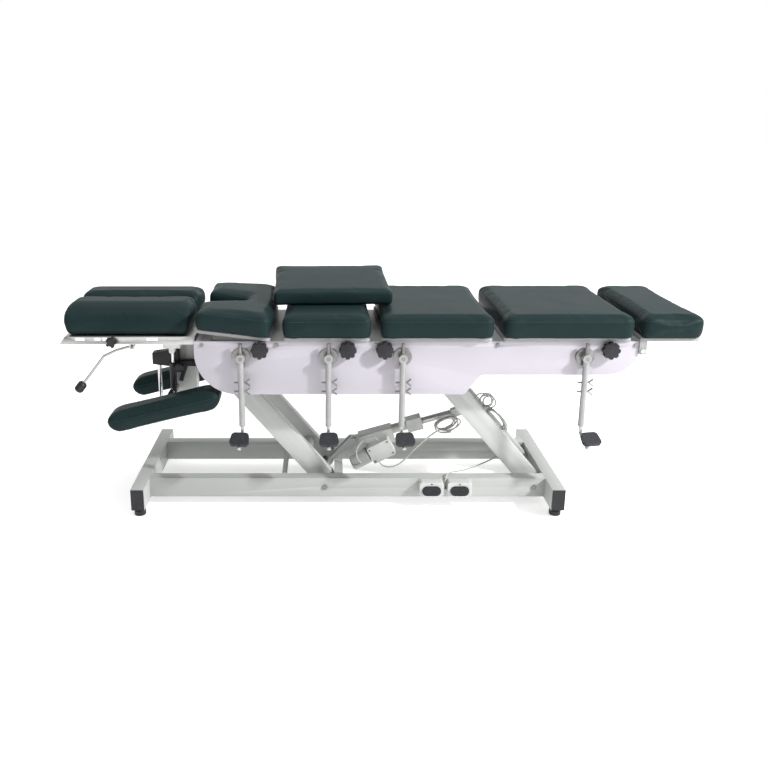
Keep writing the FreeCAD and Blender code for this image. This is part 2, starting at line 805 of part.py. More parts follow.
def wing_screw(x, z):
    """A clamping screw through the lever tube with two spread wings on its right end."""
    gap = pedal_rod / 2 + running_gap
    stud_left = rod((x - wing_stud_left, lever_y, z), wing_stud, wing_stud_left - gap, X_AXIS)
    stud_right = rod((x + gap, lever_y, z), wing_stud, wing_right - gap, X_AXIS)
    blade = box(x + wing_right - wing_thick, x + wing_right + wing_length, lever_y - wing_width / 2,
                lever_y + wing_width / 2, z - wing_thick / 2, z + wing_thick / 2)
    centre = (x + wing_right - wing_thick, lever_y, z)
    wings = [turned(blade, centre, side * wing_angle) for side in (-1, 1)]
    return [stud_left, join([stud_right] + wings)]


def lever(index):
    """One hanging lever tube with its hub, upper rod and two wing screws."""
    x = lever_places[index]
    hub = rod((x, lever_y - hub_length / 2, lever_z), hub_diameter, hub_length, Y_AXIS)
    tube = rod((x, lever_y, lever_z - lever_reach), lever_tube, lever_reach, Z_AXIS)
    upper = rod((x, lever_y, lever_z), pedal_rod, upper_rod_length, Z_AXIS)
    body = join([hub, tube, upper])
    body = body.cut(rod((x, flange_face - spigot_length - cut_over, lever_z),
                        spigot_diameter + 2 * running_gap, spigot_length + 2 * cut_over, Y_AXIS))
    body = body.cut(rod((x, lever_y, lever_z - lever_reach - cut_over), pedal_rod + 2 * running_gap,
                        lever_reach * bore_top_share, Z_AXIS))
    screws = []
    for drop in wing_drops:
        screws.extend(wing_screw(x, lever_z - drop))
        body = body.cut(rod((x - wing_stud_left, lever_y, lever_z - drop), wing_stud,
                            wing_stud_left + wing_right, X_AXIS))
    return [body] + screws


# Pedals, built at the lever's axis and pointing to -Y
pedal_turns = (-6.0, 2.0, 6.0, 10.0)
pedal_offsets = (-3.0, 0.0, 6.0, 20.0)
pedal_rod_overlap = 170.0
pedal_bend_drop = 22.0
pedal_slope_angle = 32.0
pedal_foot_length = 70.0
pedal_width = 68.0
pedal_top_width = 56.0
pedal_length = 50.0
pedal_thick = 12.0
pedal_sink = 2.0
pedal_round = 13.0


def pedal(index):
    """A round rod bent outwards at its foot, with a rubber pad seated on the bend's far leg."""
    x = lever_places[index]
    bend_z = lever_z - lever_reach - pedal_bend_drop
    top = V(x, lever_y, lever_z - lever_reach + pedal_rod_overlap)
    bend = V(x, lever_y, bend_z)
    slope = math.radians(pedal_slope_angle)
    along = V(0, -math.cos(slope), -math.sin(slope))
    shaft = join([rod_between(top, bend, pedal_rod),
                  Part.makeSphere(pedal_rod / 2, bend),
                  rod_between(bend, bend + along * pedal_foot_length, pedal_rod)])
    corners = [(-pedal_top_width / 2, 0, pedal_round), (pedal_top_width / 2, 0, pedal_round),
               (pedal_width / 2, pedal_length, pedal_round),
               (-pedal_width / 2, pedal_length, pedal_round)]
    pad = Part.Face(outline(corners, 0)).extrude(V(0, 0, -pedal_thick))
    pad.rotate(V(0, 0, 0), X_AXIS, 180 + pedal_slope_angle)
    normal = V(0, -math.sin(slope), math.cos(slope))
    start = bend + along * pedal_rod + normal * pedal_sink + X_AXIS * pedal_offsets[index]
    pad.translate(start)
    pad = pad.cut(shaft)
    return [turned(piece, (x, lever_y, 0), pedal_turns[index], Z_AXIS) for piece in (shaft, pad)]


def star_knob(x, y, z, diameter, thickness, lobes, stem, stem_length):
    """A lobed knob whose back is at y, with a stem that runs on towards +Y."""
    lobe = diameter * knob_lobe_share
    ring_radius = (diameter - lobe) / 2
    pieces = [rod((x, y - thickness, z), 2 * ring_radius, thickness, Y_AXIS)]
    for i in range(lobes):
        angle = 2 * math.pi * i / lobes
        centre = (x + ring_radius * math.cos(angle), y - thickness, z + ring_radius * math.sin(angle))
        pieces.append(rod(centre, lobe, thickness, Y_AXIS))
    pieces.append(rod((x, y - thickness / 2, z), stem, thickness / 2 + stem_length, Y_AXIS))
    return join(pieces)


def drop_knob(index):
    """One drop tension knob, its stem running through the front panel."""
    stem_length = knob_gap + panel_thickness + knob_stem_inside
    return [star_knob(knob_places[index], -panel_face - knob_gap, knob_z, knob_diameter,
                      knob_thickness, knob_lobes, knob_stem, stem_length)]


# Trays under the drop sections
tray_half_width = 240.0
tray_inset = 2.0
tray_round = 14.0
chest_raise_angle = 6.9


def tray(x0, x1):
    """A flat plate under one section, with rounded corners."""
    corners = [(x0 + tray_inset, -tray_half_width, tray_round),
               (x1 - tray_inset, -tray_half_width, tray_round),
               (x1 - tray_inset, tray_half_width, tray_round),
               (x0 + tray_inset, tray_half_width, tray_round)]
    return Part.Face(outline(corners, tray_bottom)).extrude(V(0, 0, tray_thickness))


def hinged_tray(x0, x1, hinge_x):
    """A tray with two knuckles below it that turn on the hinge pins."""
    pieces = [tray(x0, x1)]
    for y in (-hinge_y, hinge_y):
        start = y - hinge_width / 2
        pieces.append(rod((hinge_x, start, hinge_z), 2 * hinge_radius, hinge_width, Y_AXIS))
        pieces.append(box(hinge_x - hinge_radius, hinge_x + hinge_radius, start,
                          start + hinge_width, hinge_z, tray_bottom + tray_thickness / 2))
    plate = join(pieces)
    return plate.cut(rod((hinge_x, -panel_half_spread, hinge_z), hinge_pin + 2 * running_gap,
                         2 * panel_half_spread, Y_AXIS))


def raised(shape):
    """A chest piece at the raised angle that the table stands at."""
    return turned(shape, (chest_hinge_x, 0, hinge_z), chest_raise_angle)


def foot_tray():
    """The end tray with a side tab on each side that hangs on the pivot bolts."""
    tab_back = -panel_face - foot_tab_gap
    half = foot_lug_width / 2
    corners = [(foot_hinge_x - half, foot_hinge_z - half, half / 2),
               (foot_hinge_x + half, foot_hinge_z - half, half / 2),
               (foot_hinge_x + half, tray_top, 0), (foot_hinge_x - half, tray_top, 0)]
    tab = side_plate(corners, tab_back, foot_tab)
    plate = join([tray(foot_x0, foot_x1), tab, mirrored(tab)])
    return [plate.cut(rod((foot_hinge_x, -top_half_width, foot_hinge_z),
                          foot_bolt + 2 * running_gap, 2 * top_half_width, Y_AXIS))]


# Upholstery profile from the bottom up, as shares of the thickness and of the crown's inset
cushion_round = 26.0
side_bow_share = 0.006
crown_inset = 60.0
cushion_shares = ((0.0, 0.09), (0.18, 0.02), (0.42, 0.0), (0.66, 0.0), (0.80, 0.04),
                  (0.91, 0.18), (0.97, 0.5), (1.0, 1.0))


def cushion(x0, x1):
    """A table cushion: sides drawn in between the corners, and a crowned top."""
    wires = []
    for share, inset_share in cushion_shares:
        inset = crown_inset * inset_share
        half = top_half_width - inset
        corners = [(x0 + inset, -half, cushion_round), (x1 - inset, -half, cushion_round),
                   (x1 - inset, half, cushion_round), (x0 + inset, half, cushion_round)]
        wires.append(outline(corners, cushion_bottom + cushion_thickness * share, side_bow_share))
    return [Part.makeLoft(wires, True, True)]


# Face notch in the head end of the chest cushion
notch_half_width = 75.0
notch_depth = 135.0
notch_tip_half = 24.0
notch_round = 18.0
notch_crown_inset = 40.0
chest_thickness = 84.0
chest_top_angle = 3.5


def chest_cushion():
    """The chest cushion, thickest at its foot end, with its face notch open to the head end."""
    wires = []
    for share, inset_share in cushion_shares:
        inset = min(crown_inset * inset_share, notch_crown_inset)
        x0, x1 = chest_x0 + inset, chest_x1 - inset
        half = top_half_width - inset
        mouth = notch_half_width + inset
        tip_x = chest_x0 + notch_depth + inset
        tip = notch_tip_half + inset
        corners = [(x0, -half, cushion_round), (x1, -half, cushion_round),
                   (x1, half, cushion_round), (x0, half, cushion_round),
                   (x0, mouth, notch_round), (tip_x, tip, notch_round),
                   (tip_x, -tip, notch_round), (x0, -mouth, notch_round)]
        wire = outline(corners, cushion_bottom + chest_thickness * share)
        wire.rotate(V(chest_x1, 0, cushion_bottom), Y_AXIS, -chest_top_angle * share)
        wires.append(wire)
    return [raised(Part.makeLoft(wires, True, True))]


def chest_tray():
    """The chest tray, cut away under the face notch."""
    plate = hinged_tray(chest_x0, chest_x1, chest_hinge_x)
    opening = box(chest_x0 - cut_over, chest_x0 + notch_depth, -notch_half_width,
                  notch_half_width, tray_bottom - cut_over, tray_top + cut_over)
    return [raised(plate.cut(opening))]


# Loose wedge pad on the abdominal cushion
wedge_before = 41.0
wedge_length = 404.0
wedge_front = -112.0
wedge_back = 273.0
wedge_near = 50.0
wedge_far = 76.0
wedge_turn_angle = 2.0
wedge_round = 12.0
wedge_crown_inset = 28.0
wedge_shares = ((0.0, 0.25), (0.14, 0.0), (0.84, 0.0), (0.95, 0.14), (1.0, 1.0))


def loose_pad():
    """A wedge pad: each level tilts a little more than the one below it."""
    x0 = abdominal_x0 - wedge_before
    x1 = x0 + wedge_length
    bottom = cushion_bottom + cushion_thickness + soft_gap
    slope = math.degrees(math.atan((wedge_far - wedge_near) / (wedge_back - wedge_front)))
    wires = []
    for share, inset_share in wedge_shares:
        inset = wedge_crown_inset * inset_share
        corners = [(x0 + inset, wedge_front + inset, wedge_round),
                   (x1 - inset, wedge_front + inset, wedge_round),
                   (x1 - inset, wedge_back - inset, wedge_round),
                   (x0 + inset, wedge_back - inset, wedge_round)]
        wire = outline(corners, bottom + wedge_near * share, side_bow_share)
        wire.rotate(V(0, wedge_front, bottom), X_AXIS, slope * share)
        wires.append(wire)
    pad = Part.makeLoft(wires, True, True)
    return [turned(pad, ((x0 + x1) / 2, (wedge_front + wedge_back) / 2, 0), wedge_turn_angle, Z_AXIS)]


# Head column
column_depth = 80.0
column_top_drop = 25.0
column_height = 206.0
ear_thickness = 8.0
ear_radius = 15.0
ear_height = 65.0
tilt_pin = 12.0
tray_ear = 7.0
gas_y = -85.0
gas_low_x_inset = 9.0
gas_low_rise = 35.0
gas_pin = 8.0
gas_boss = 20.0
gas_eye = 18.0
gas_eye_width = 12.0
gas_open_gap = 2.5
column_x0 = column_x1 - column_depth
column_z1 = tilt_z - column_top_drop
column_z0 = column_z1 - column_height
gas_low_x = column_x0 + gas_low_x_inset
gas_low_z = column_z0 + gas_low_rise


def head_column():
    """The box column with its tilt ears, tilt pin and the gas spring's lower stud."""
    column = box_tube(column_x0, column_x1, -spine_half_width, spine_half_width,
                      column_z0, column_z1, "z")
    ear = side_plate([(tilt_x - ear_radius, column_z1 - ear_height, 0),
                      (tilt_x + ear_radius, column_z1 - ear_height, 0),
                      (tilt_x + ear_radius, tilt_z + ear_radius, ear_radius / 2),
                      (tilt_x - ear_radius, tilt_z + ear_radius, ear_radius / 2)],
                     -spine_half_width, ear_thickness)
    reach = spine_half_width + ear_thickness + side_gap + tray_ear
    pin = rod((tilt_x, -reach, tilt_z), tilt_pin, 2 * reach, Y_AXIS)
    boss_end = gas_y + gas_eye_width / 2 + side_gap
    boss = rod((gas_low_x, boss_end, gas_low_z), gas_boss, -spine_half_width - boss_end, Y_AXIS)
    stud_end = gas_y - gas_eye_width / 2 - side_gap
    stud = rod((gas_low_x, stud_end, gas_low_z), gas_pin, -spine_half_width - stud_end, Y_AXIS)
    body = join([column, ear, mirrored(ear), boss, stud])
    return [body.cut(pin), pin]


# Head tray
head_tray_half = 210.0
head_tray_height = 27.2
head_tray_wall = 3.0
head_tray_bevel = 20.0
head_tray_over_frame = 10.7
slot_shares = ((0.121, 0.188), (0.262, 0.306), (0.321, 0.357), (0.645, 0.727), (0.793, 0.882))
slot_height = 10.0
slot_drop = 9.6
gas_top_drop = 46.0
gas_top_reach = 55.0
gas_lug = 7.0
gas_lug_half = 30.0
gas_lug_round = 10.0
release_y = -190.0
release_inset = 237.0
release_drop = 9.4
release_pin = 6.0
release_hub = 16.0
release_lug = 3.5
tray_knob_inset = 174.0
tray_knob_diameter = 37.0
tray_knob_lobes = 5
tray_knob_thickness = 14.0
tray_knob_stem_inside = 12.0
head_tray_top = frame_top + head_tray_over_frame
head_tray_bottom = head_tray_top - head_tray_height
gas_top_x = tilt_x - gas_top_reach
gas_top_z = tilt_z - gas_top_drop
release_x = tray_x0 + release_inset
release_z = head_tray_bottom - release_drop
tray_knob_x = tray_x0 + tray_knob_inset
tray_knob_z = head_tray_bottom + head_tray_height / 3


def tray_pan():
    """The pressed pan: a flat top with flanges all round and a slanted head end."""
    corners = [(tray_x0, head_tray_bottom, 0), (head_tray_x1, head_tray_bottom, 0),
               (head_tray_x1, head_tray_top, 0), (tray_x0 + head_tray_bevel, head_tray_top, 0)]
    outside = side_plate(corners, head_tray_half, 2 * head_tray_half)
    inside = box(tray_x0 + head_tray_bevel + head_tray_wall, head_tray_x1 - head_tray_wall,
                 head_tray_wall - head_tray_half, head_tray_half - head_tray_wall,
                 head_tray_bottom - cut_over, head_tray_top - head_tray_wall)
    return outside.cut(inside)


def head_tray():
    """The head pan with its slots, tilt ears, gas spring lugs and release lever lug."""
    roof = head_tray_top - head_tray_wall / 2
    ear_front = -spine_half_width - ear_thickness - side_gap
    ear = join([rod((tilt_x, ear_front - tray_ear, tilt_z), 2 * ear_radius, tray_ear, Y_AXIS),
                box(tilt_x - ear_radius, tilt_x + ear_radius, ear_front - tray_ear, ear_front,
                    tilt_z, roof)])
    pieces = [tray_pan(), ear, mirrored(ear)]
    gas_half = gas_eye_width / 2 + side_gap
    for start in (gas_y - gas_half - gas_lug, gas_y + gas_half):
        pieces.append(box(gas_top_x - gas_lug_half, gas_top_x + gas_lug_half, start,
                          start + gas_lug, gas_top_z + gas_lug_round, roof))
        pieces.append(rod((gas_top_x, start, gas_top_z), 2 * gas_lug_round, gas_lug, Y_AXIS))
        pieces.append(box(gas_top_x - gas_lug_round, gas_top_x + gas_lug_round, start,
                          start + gas_lug, gas_top_z, roof))
    hub_half = release_hub / 2
    release_start = release_y - hub_half - side_gap - release_lug
    pieces.append(box(release_x - hub_half, release_x + hub_half, release_start,
                      release_start + release_lug, release_z - hub_half, roof))
    body = join(pieces)
    for start_share, end_share in slot_shares:
        length = head_tray_x1 - tray_x0
        body = body.cut(box(tray_x0 + length * start_share, tray_x0 + length * end_share,
                            -head_tray_half - cut_over, -head_tray_half + head_tray_wall + cut_over,
                            head_tray_top - slot_drop - slot_height / 2,
                            head_tray_top - slot_drop + slot_height / 2))
    body = body.cut(rod((tilt_x, -head_tray_half / 2, tilt_z), tilt_pin + 2 * running_gap,
                        head_tray_half, Y_AXIS))
    gas_pin_half = gas_half + gas_lug
    gas_pin_rod = rod((gas_top_x, gas_y - gas_pin_half, gas_top_z), gas_pin,
                      2 * gas_pin_half, Y_AXIS)
    release_rod = rod((release_x, release_start, release_z), release_pin,
                      release_lug + side_gap + release_hub, Y_AXIS)
    body = body.cut(gas_pin_rod).cut(release_rod)
    body = body.cut(rod((tray_knob_x, -head_tray_half - cut_over, tray_knob_z),
                        knob_stem + 2 * running_gap, head_tray_wall + 2 * cut_over, Y_AXIS))
    return [body, gas_pin_rod, release_rod]


# Head cushions from the bottom up, as shares of the thickness and of the end, inner and outer crown
head_inner = 12.0
head_thickness = 101.5
head_round = 20.0
head_end_crown = 30.0
head_inner_crown = 42.0
head_outer_crown = 104.0
head_shares = ((0.0, 0.33, 0.048, 0.077), (0.14, 0.17, 0.0, 0.0), (0.42, 0.0, 0.0, 0.029),
               (0.66, 0.0, 0.048, 0.173), (0.84, 0.13, 0.167, 0.423),
               (0.95, 0.43, 0.429, 0.712), (1.0, 1.0, 1.0, 1.0))


def head_cushion_front():
    """The crowned head cushion on the front side, rolled over at its outer edge."""
    bottom = head_tray_top + soft_gap
    wires = []
    for share, end_share, inner_share, outer_share in head_shares:
        end = head_end_crown * end_share
        inner = head_inner_crown * inner_share
        outer = head_outer_crown * outer_share
        corners = [(head_x0 + end, -head_half_width + outer, head_round),
                   (head_x1 - end, -head_half_width + outer, head_round),
                   (head_x1 - end, -head_inner - inner, head_round),
                   (head_x0 + end, -head_inner - inner, head_round)]
        wires.append(outline(corners, bottom + head_thickness * share))
    return [Part.makeLoft(wires, True, True)]


def head_cushion_rear():
    """The rear head cushion, the front one mirrored."""
    return [mirrored(head_cushion_front()[0])]


# Release lever under the head tray
release_rod_diameter = 8.5
release_points_shares = ((0.303, 0.124), (0.534, 0.279), (0.937, 1.0))
release_run = 183.0
release_fall = 129.0
release_knob_length = 39.0
release_knob_diameter = 31.0


def release_lever():
    """A bent rod from its hub down to an oval hand knob."""
    hub = rod((release_x, release_y - release_hub / 2, release_z), release_hub,
              release_hub, Y_AXIS)
    points = [V(release_x, release_y, release_z)]
    for run_share, fall_share in release_points_shares:
        points.append(V(release_x - release_run * run_share, release_y,
                        release_z - release_fall * fall_share))
    pieces = [hub]
    for start, end in zip(points, points[1:]):
        pieces.append(rod_between(start, end, release_rod_diameter))
        pieces.append(Part.makeSphere(release_rod_diameter / 2, end))
    body = join(pieces)
    body = body.cut(rod((release_x, release_y - release_hub, release_z),
                        release_pin + 2 * running_gap, 2 * release_hub, Y_AXIS))
    direction = (points[-1] - points[-2]).normalize()
    grip = Part.makeCylinder(release_knob_diameter / 2, release_knob_length, points[-1], direction)
    grip = grip.makeFillet(release_knob_diameter / 3, [e for e in grip.Edges if e.isClosed()])
    return [body, grip.cut(body)]


def tray_star_knob():
    """The small star knob on the head tray's front flange."""
    return [star_knob(tray_knob_x, -head_tray_half - side_gap, tray_knob_z, tray_knob_diameter,
                      tray_knob_thickness, tray_knob_lobes, knob_stem,
                      side_gap + head_tray_wall + tray_knob_stem_inside)]


# Gas spring
gas_cylinder_diameter = 24.0
gas_rod_diameter = 10.0
gas_neck_diameter = 10.0
gas_cylinder_start = 14.0
gas_cylinder_end = 105.0
gas_bore_start = 42.0
gas_rod_start = 58.0
gas_span = math.hypot(gas_top_x - gas_low_x, gas_top_z - gas_low_z)
gas_lean = math.degrees(math.atan2(gas_top_x - gas_low_x, gas_top_z - gas_low_z))


def on_gas_spring(shape):
    """Places a shape built upwards from the lower pin along the gas spring."""
    return moved(turned(shape, (0, 0, 0), gas_lean), gas_low_x, gas_y, gas_low_z)


def gas_eye_at(height):
    """The round eye at one end of the gas spring."""
    return rod((0, -gas_eye_width / 2, height), gas_eye, gas_eye_width, Y_AXIS)


def gas_spring_cylinder():
    """The black cylinder with its lower eye."""
    can = rod((0, 0, gas_cylinder_start), gas_cylinder_diameter,
              gas_cylinder_end - gas_cylinder_start, Z_AXIS)
    neck = rod((0, 0, 0), gas_neck_diameter, gas_cylinder_start + cut_over, Z_AXIS)
    body = join([gas_eye_at(0), neck, can])
    body = body.cut(rod((0, -gas_eye, 0), gas_pin + 2 * running_gap, 2 * gas_eye, Y_AXIS))
    return [on_gas_spring(body.cut(rod((0, 0, gas_bore_start), gas_rod_diameter + 2 * running_gap,
                                       gas_cylinder_end, Z_AXIS)))]


def gas_spring_rod():
    """The rod with its upper eye, bored wide because that pivot is the open one."""
    shaft = rod((0, 0, gas_rod_start), gas_rod_diameter, gas_span - gas_rod_start, Z_AXIS)
    body = join([shaft, gas_eye_at(gas_span)])
    return [on_gas_spring(body.cut(rod((0, -gas_eye, gas_span), gas_pin + 2 * gas_open_gap,
                                       2 * gas_eye, Y_AXIS)))]


# Armrest carrier, its clamp and the two pads
carrier_from_column = 45.0
carrier_y = -49.0
carrier_rod = 14.0
carrier_tube = 25.0
carrier_half = 160.0
carrier_height = 209.0
carrier_drop = 48.5
clamp_front = 68.0
clamp_past_rod = 20.0
clamp_into_column = 25.0
clamp_height = 65.0
clamp_small_height = 40.0
clamp_top_drop = 24.0
clamp_bar_end = 6.0
clamp_bar_height = 16.0
clamp_bar_front = 60.0
clamp_link_width = 14.0
clamp_link_length = 72.0
clamp_link_angle = 19.0
clamp_knob_diameter = 31.0
clamp_knob_thickness = 14.0
clamp_knob_stem = 6.0
clamp_knob_y = -100.0
clamp_knob_inset = 34.0
clamp_knob_sunk = 10.0
carrier_x = column_x0 - carrier_from_column
carrier_z = column_z0 - carrier_drop
clamp_x0 = carrier_x - clamp_past_rod
clamp_x1 = column_x0 + clamp_into_column
clamp_z1 = column_z1 - clamp_top_drop
clamp_middle = clamp_z1 - clamp_height / 2
bar_z = clamp_middle - clamp_height / 3
clamp_knob_x = column_x0 + clamp_knob_inset


def armrest_clamp():
    """The tapered block that grips the carrier rod, with a side bar and a link."""
    small = clamp_small_height / 2
    block = side_plate([(clamp_x0, clamp_middle - small, 0),
                        (clamp_x1, clamp_z1 - clamp_height, 0), (clamp_x1, clamp_z1, 0),
                        (clamp_x0, clamp_middle + small, 0)],
                       -spine_half_width, clamp_front - spine_half_width)
    bar = box(clamp_x1 - cut_over, column_x1 + clamp_bar_end, -clamp_bar_front, -spine_half_width,
              bar_z - clamp_bar_height / 2, bar_z + clamp_bar_height / 2)
    link = box(-clamp_link_width / 2, clamp_link_width / 2, -clamp_link_width - spine_half_width,
               -spine_half_width, -clamp_link_length, 0)
    link = moved(turned(link, (0, 0, 0), clamp_link_angle), tilt_x - ear_radius, 0, bar_z)
    body = join([block, bar, link])
    body = body.cut(rod((carrier_x, carrier_y, carrier_z), carrier_rod + 2 * running_gap,
                        2 * carrier_height, Z_AXIS))
    return [body.cut(rod((clamp_knob_x, clamp_knob_y, bar_z), clamp_knob_stem + 2 * running_gap,
                         -clamp_bar_front + clamp_knob_sunk - clamp_knob_y + side_gap, Y_AXIS))]


def clamp_knob():
    """The round hand knob in front of the clamp, with its stem."""
    disc = rod((clamp_knob_x, clamp_knob_y - clamp_knob_thickness, bar_z), clamp_knob_diameter,
               clamp_knob_thickness, Y_AXIS)
    stem = rod((clamp_knob_x, clamp_knob_y - side_gap, bar_z), clamp_knob_stem,
               -clamp_bar_front + clamp_knob_sunk - clamp_knob_y + side_gap, Y_AXIS)
    return [join([disc, stem])]


def armrest_carrier():
    """The chrome rod with the cross tube that carries both armrest pads."""
    upright = rod((carrier_x, carrier_y, carrier_z), carrier_rod, carrier_height, Z_AXIS)
    across = rod((carrier_x, -carrier_half, carrier_z), carrier_tube, 2 * carrier_half, Y_AXIS)
    return [join([across, upright])]


armrest_y = 190.0
armrest_width = 110.0
armrest_before = 140.0
armrest_after = 250.0
armrest_thickness = 72.0
armrest_slope_angle = 14.0
armrest_round = 20.0
armrest_end_crown = 34.0
armrest_side_crown = 18.0
armrest_shares = ((0.0, 0.80, 0.28), (0.14, 0.40, 0.05), (0.34, 0.08, 0.0), (0.54, 0.0, 0.0),
                  (0.74, 0.12, 0.05), (0.90, 0.45, 0.34), (1.0, 1.0, 1.0))


def armrest_pad_front():
    """The front armrest pad, sloping up to the foot end and resting on the cross tube."""
    bottom = carrier_z + carrier_tube / 2 + soft_gap
    wires = []
    for share, end_share, side_share in armrest_shares:
        end = armrest_end_crown * end_share
        half = armrest_width / 2 - armrest_side_crown * side_share
        corners = [(carrier_x - armrest_before + end, -armrest_y - half, armrest_round),
                   (carrier_x + armrest_after - end, -armrest_y - half, armrest_round),
                   (carrier_x + armrest_after - end, -armrest_y + half, armrest_round),
                   (carrier_x - armrest_before + end, -armrest_y + half, armrest_round)]
        wires.append(outline(corners, bottom + armrest_thickness * share))
    pad = Part.makeLoft(wires, True, True)
    return [turned(pad, (carrier_x, 0, carrier_z), -armrest_slope_angle)]


def armrest_pad_rear():
    """The rear armrest pad, the front one mirrored."""
    return [mirrored(armrest_pad_front()[0])]


# Cords
cord_diameter = 5.0
cord_arc_share = 0.45
coil_pitch = 6.3
gap_steps = 12

motor_cable_route = ((-46, -76.6, 116), (-48, -87, 118), (-60, -91, 133), (-66, -82, 157),
                     (-57, -74, 180), (-36, -65, 197), (-10, -57, 206), (5, -50, 203),
                     (15, -47, 188))
actuator_lead_route = ((18.4, -47, 110.5), (23.8, -48, 100.6), (36, -55, 92), (58, -62, 90),
                       (82, -64, 97), (104, -64, 112), (124, -63, 134), (152, -60, 164),
                       (181, -49, 186), (207, -35, 204), (232, -28.1, 218.5), (256, -28.1, 229.3))
switch_lead_route = ((463.7, -67, 227.8), (475, -66, 220.5), (484, -63, 205), (484, -60, 181),
                     (474, -60, 157), (452, -61, 136), (420, -64, 118), (385, -72, 106),
                     (345, -90, 98), (308, -118, 101), (278, -143, 109), (259, -164, 115),
                     (247, -186, 116), (242, -195, 100), (241, -193, 83), (241, -193, 67))


def cord(route):
    """A tube along straight runs and tangent arcs, and the radii of those arcs."""
    points = [V(*point) for point in route]
    edges, radii = [], []
    start = points[0]
    for last, corner, following in zip(points, points[1:], points[2:]):
        to_last, to_next = last - corner, following - corner
        trim = cord_arc_share * min(to_last.Length, to_next.Length)
        before = corner + to_last.normalize() * trim
        after = corner + to_next.normalize() * trim
        edges.append(Part.LineSegment(start, before).toShape())
        arc, radius = corner_arc(before, corner, after)
        edges.append(arc)
        radii.append(radius)
        start = after
    edges.append(Part.LineSegment(start, points[-1]).toShape())
    return sweep(edges, points[1] - points[0]), radii


def sweep(edges, direction):
    """A round tube of the cord's diameter along joined edges."""
    path = Part.Wire(edges)
    circle = Part.Circle(edges[0].Vertexes[0].Point, direction, cord_diameter / 2).toShape()
    tube = path.makePipeShell([Part.Wire([circle])], True, False)
    return tube, path.Length


def biarc(p0, t0, p1, t1):
    """Two tangent arcs from one point and direction to another."""
    span = p1 - p0
    both = t0 + t1
    bend = 2 * (1 - t0.dot(t1))
    reach = (math.sqrt(span.dot(both) ** 2 + bend * span.dot(span)) - span.dot(both)) / bend
    q0, q1 = p0 + t0 * reach, p1 - t1 * reach
    middle = (q0 + q1) / 2
    return [corner_arc(p0, q0, middle)[0], corner_arc(middle, q1, p1)[0]]


def least_gap(edges, step_count):
    """The least distance between turns, measured on points at least half a turn apart."""
    points = []
    for edge in edges:
        points.extend(edge.discretize(step_count)[:-1])
    skip = 4 * step_count
    gaps = [(points[i] - points[j]).Length
            for i in range(len(points)) for j in range(i + skip, len(points))]
    return min(gaps) - cord_diameter


def coil(centre, half_long, half_short, turns, lean, phase, drift, growth_share):
    """A loose coil across Y: its loops climb towards -Y, drift along and change in size."""
    quarter = math.pi / 2
    count = 4 * turns
    whole = count * quarter
    climb = -coil_pitch / (2 * math.pi)
    points, tangents = [], []
    for i in range(count + 1):
        t = i * quarter
        done = t / whole - 1 / 2
        angle = t + math.radians(phase)
        size, grow = 1 + growth_share * done, growth_share / whole
        points.append(V(half_long * size * math.sin(angle) + drift * done,
                        climb * (t - whole / 2), -half_short * size * math.cos(angle)))
        tangents.append(V(half_long * (grow * math.sin(angle) + size * math.cos(angle)) + drift / whole,
                          climb, half_short * (size * math.sin(angle) - grow * math.cos(angle)))
                        .normalize())
    edges = [Part.LineSegment(points[0] - tangents[0] * cord_diameter, points[0]).toShape()]
    for i in range(count):
        edges.extend(biarc(points[i], tangents[i], points[i + 1], tangents[i + 1]))
    edges.append(Part.LineSegment(points[-1], points[-1] + tangents[-1] * cord_diameter).toShape())
    tube, length = sweep(edges, tangents[0])
    turn = FreeCAD.Rotation(Y_AXIS, lean)
    ends = [V(*centre) + turn.multVec(end)
            for end in (points[0] - tangents[0] * cord_diameter,
                        points[-1] + tangents[-1] * cord_diameter)]
    return (moved(turned(tube, (0, 0, 0), lean), *centre), length, least_gap(edges, gap_steps),
            ends)


hank_centre = (262, -44, 250)
hank_half_long = 40.0
hank_half_short = 22.0
hank_turns = 5
hank_lean = -18.0
hank_phase = 0.0
hank_drift = 12.0
hank_growth_share = 0.4
arm_coil_centre = (398, -57.4, 344)
arm_coil_half = 27.0
arm_coil_short = 24.0
arm_coil_turns = 4
arm_coil_lean = 25.0
arm_coil_phase = 180.0
arm_coil_drift = -34.0
arm_coil_growth_share = 0.35
tangle_centre = (440, -54.4, 271)
tangle_half_long = 50.0
tangle_half_short = 15.0
tangle_turns = 4
tangle_lean = 49.5
tangle_phase = 45.0
tangle_drift = 8.0
tangle_growth_share = 0.2


def report_cord(name, tube, length, radii=()):
    """Prints a cord's length, its arcs' radii and how its volume compares with its section."""
    section = math.pi * cord_diameter ** 2 / 4
    print(f"cord {name}: length {length:.1f}, "
          f"volume ratio {tube.Volume / (section * length):.4f}, valid {tube.isValid()}")
    if radii:
        print("  radii " + ", ".join(f"{radius:.1f}" for radius in radii))


def routed(name, route):
    """A cord along a chosen route, reported and returned as one solid."""
    (tube, length), radii = cord(route)
    report_cord(name, tube, length, radii)
    return [tube]


def coiled(name, *sizes):
    """A coil, reported and returned as one solid."""
    tube, length, gap, ends = coil(*sizes)
    report_cord(name, tube, length)
    print(f"coil {name}: least gap to itself, measured on points, {gap:.2f}, ends "
          + " and ".join(f"({end.x:.1f}, {end.y:.1f}, {end.z:.1f})" for end in ends))
    return tube


def rod_hank():
    """The spare lead wound beside the actuator's rod."""
    return [coiled("rod_hank", hank_centre, hank_half_long, hank_half_short, hank_turns,
                   hank_lean, hank_phase, hank_drift, hank_growth_share)]


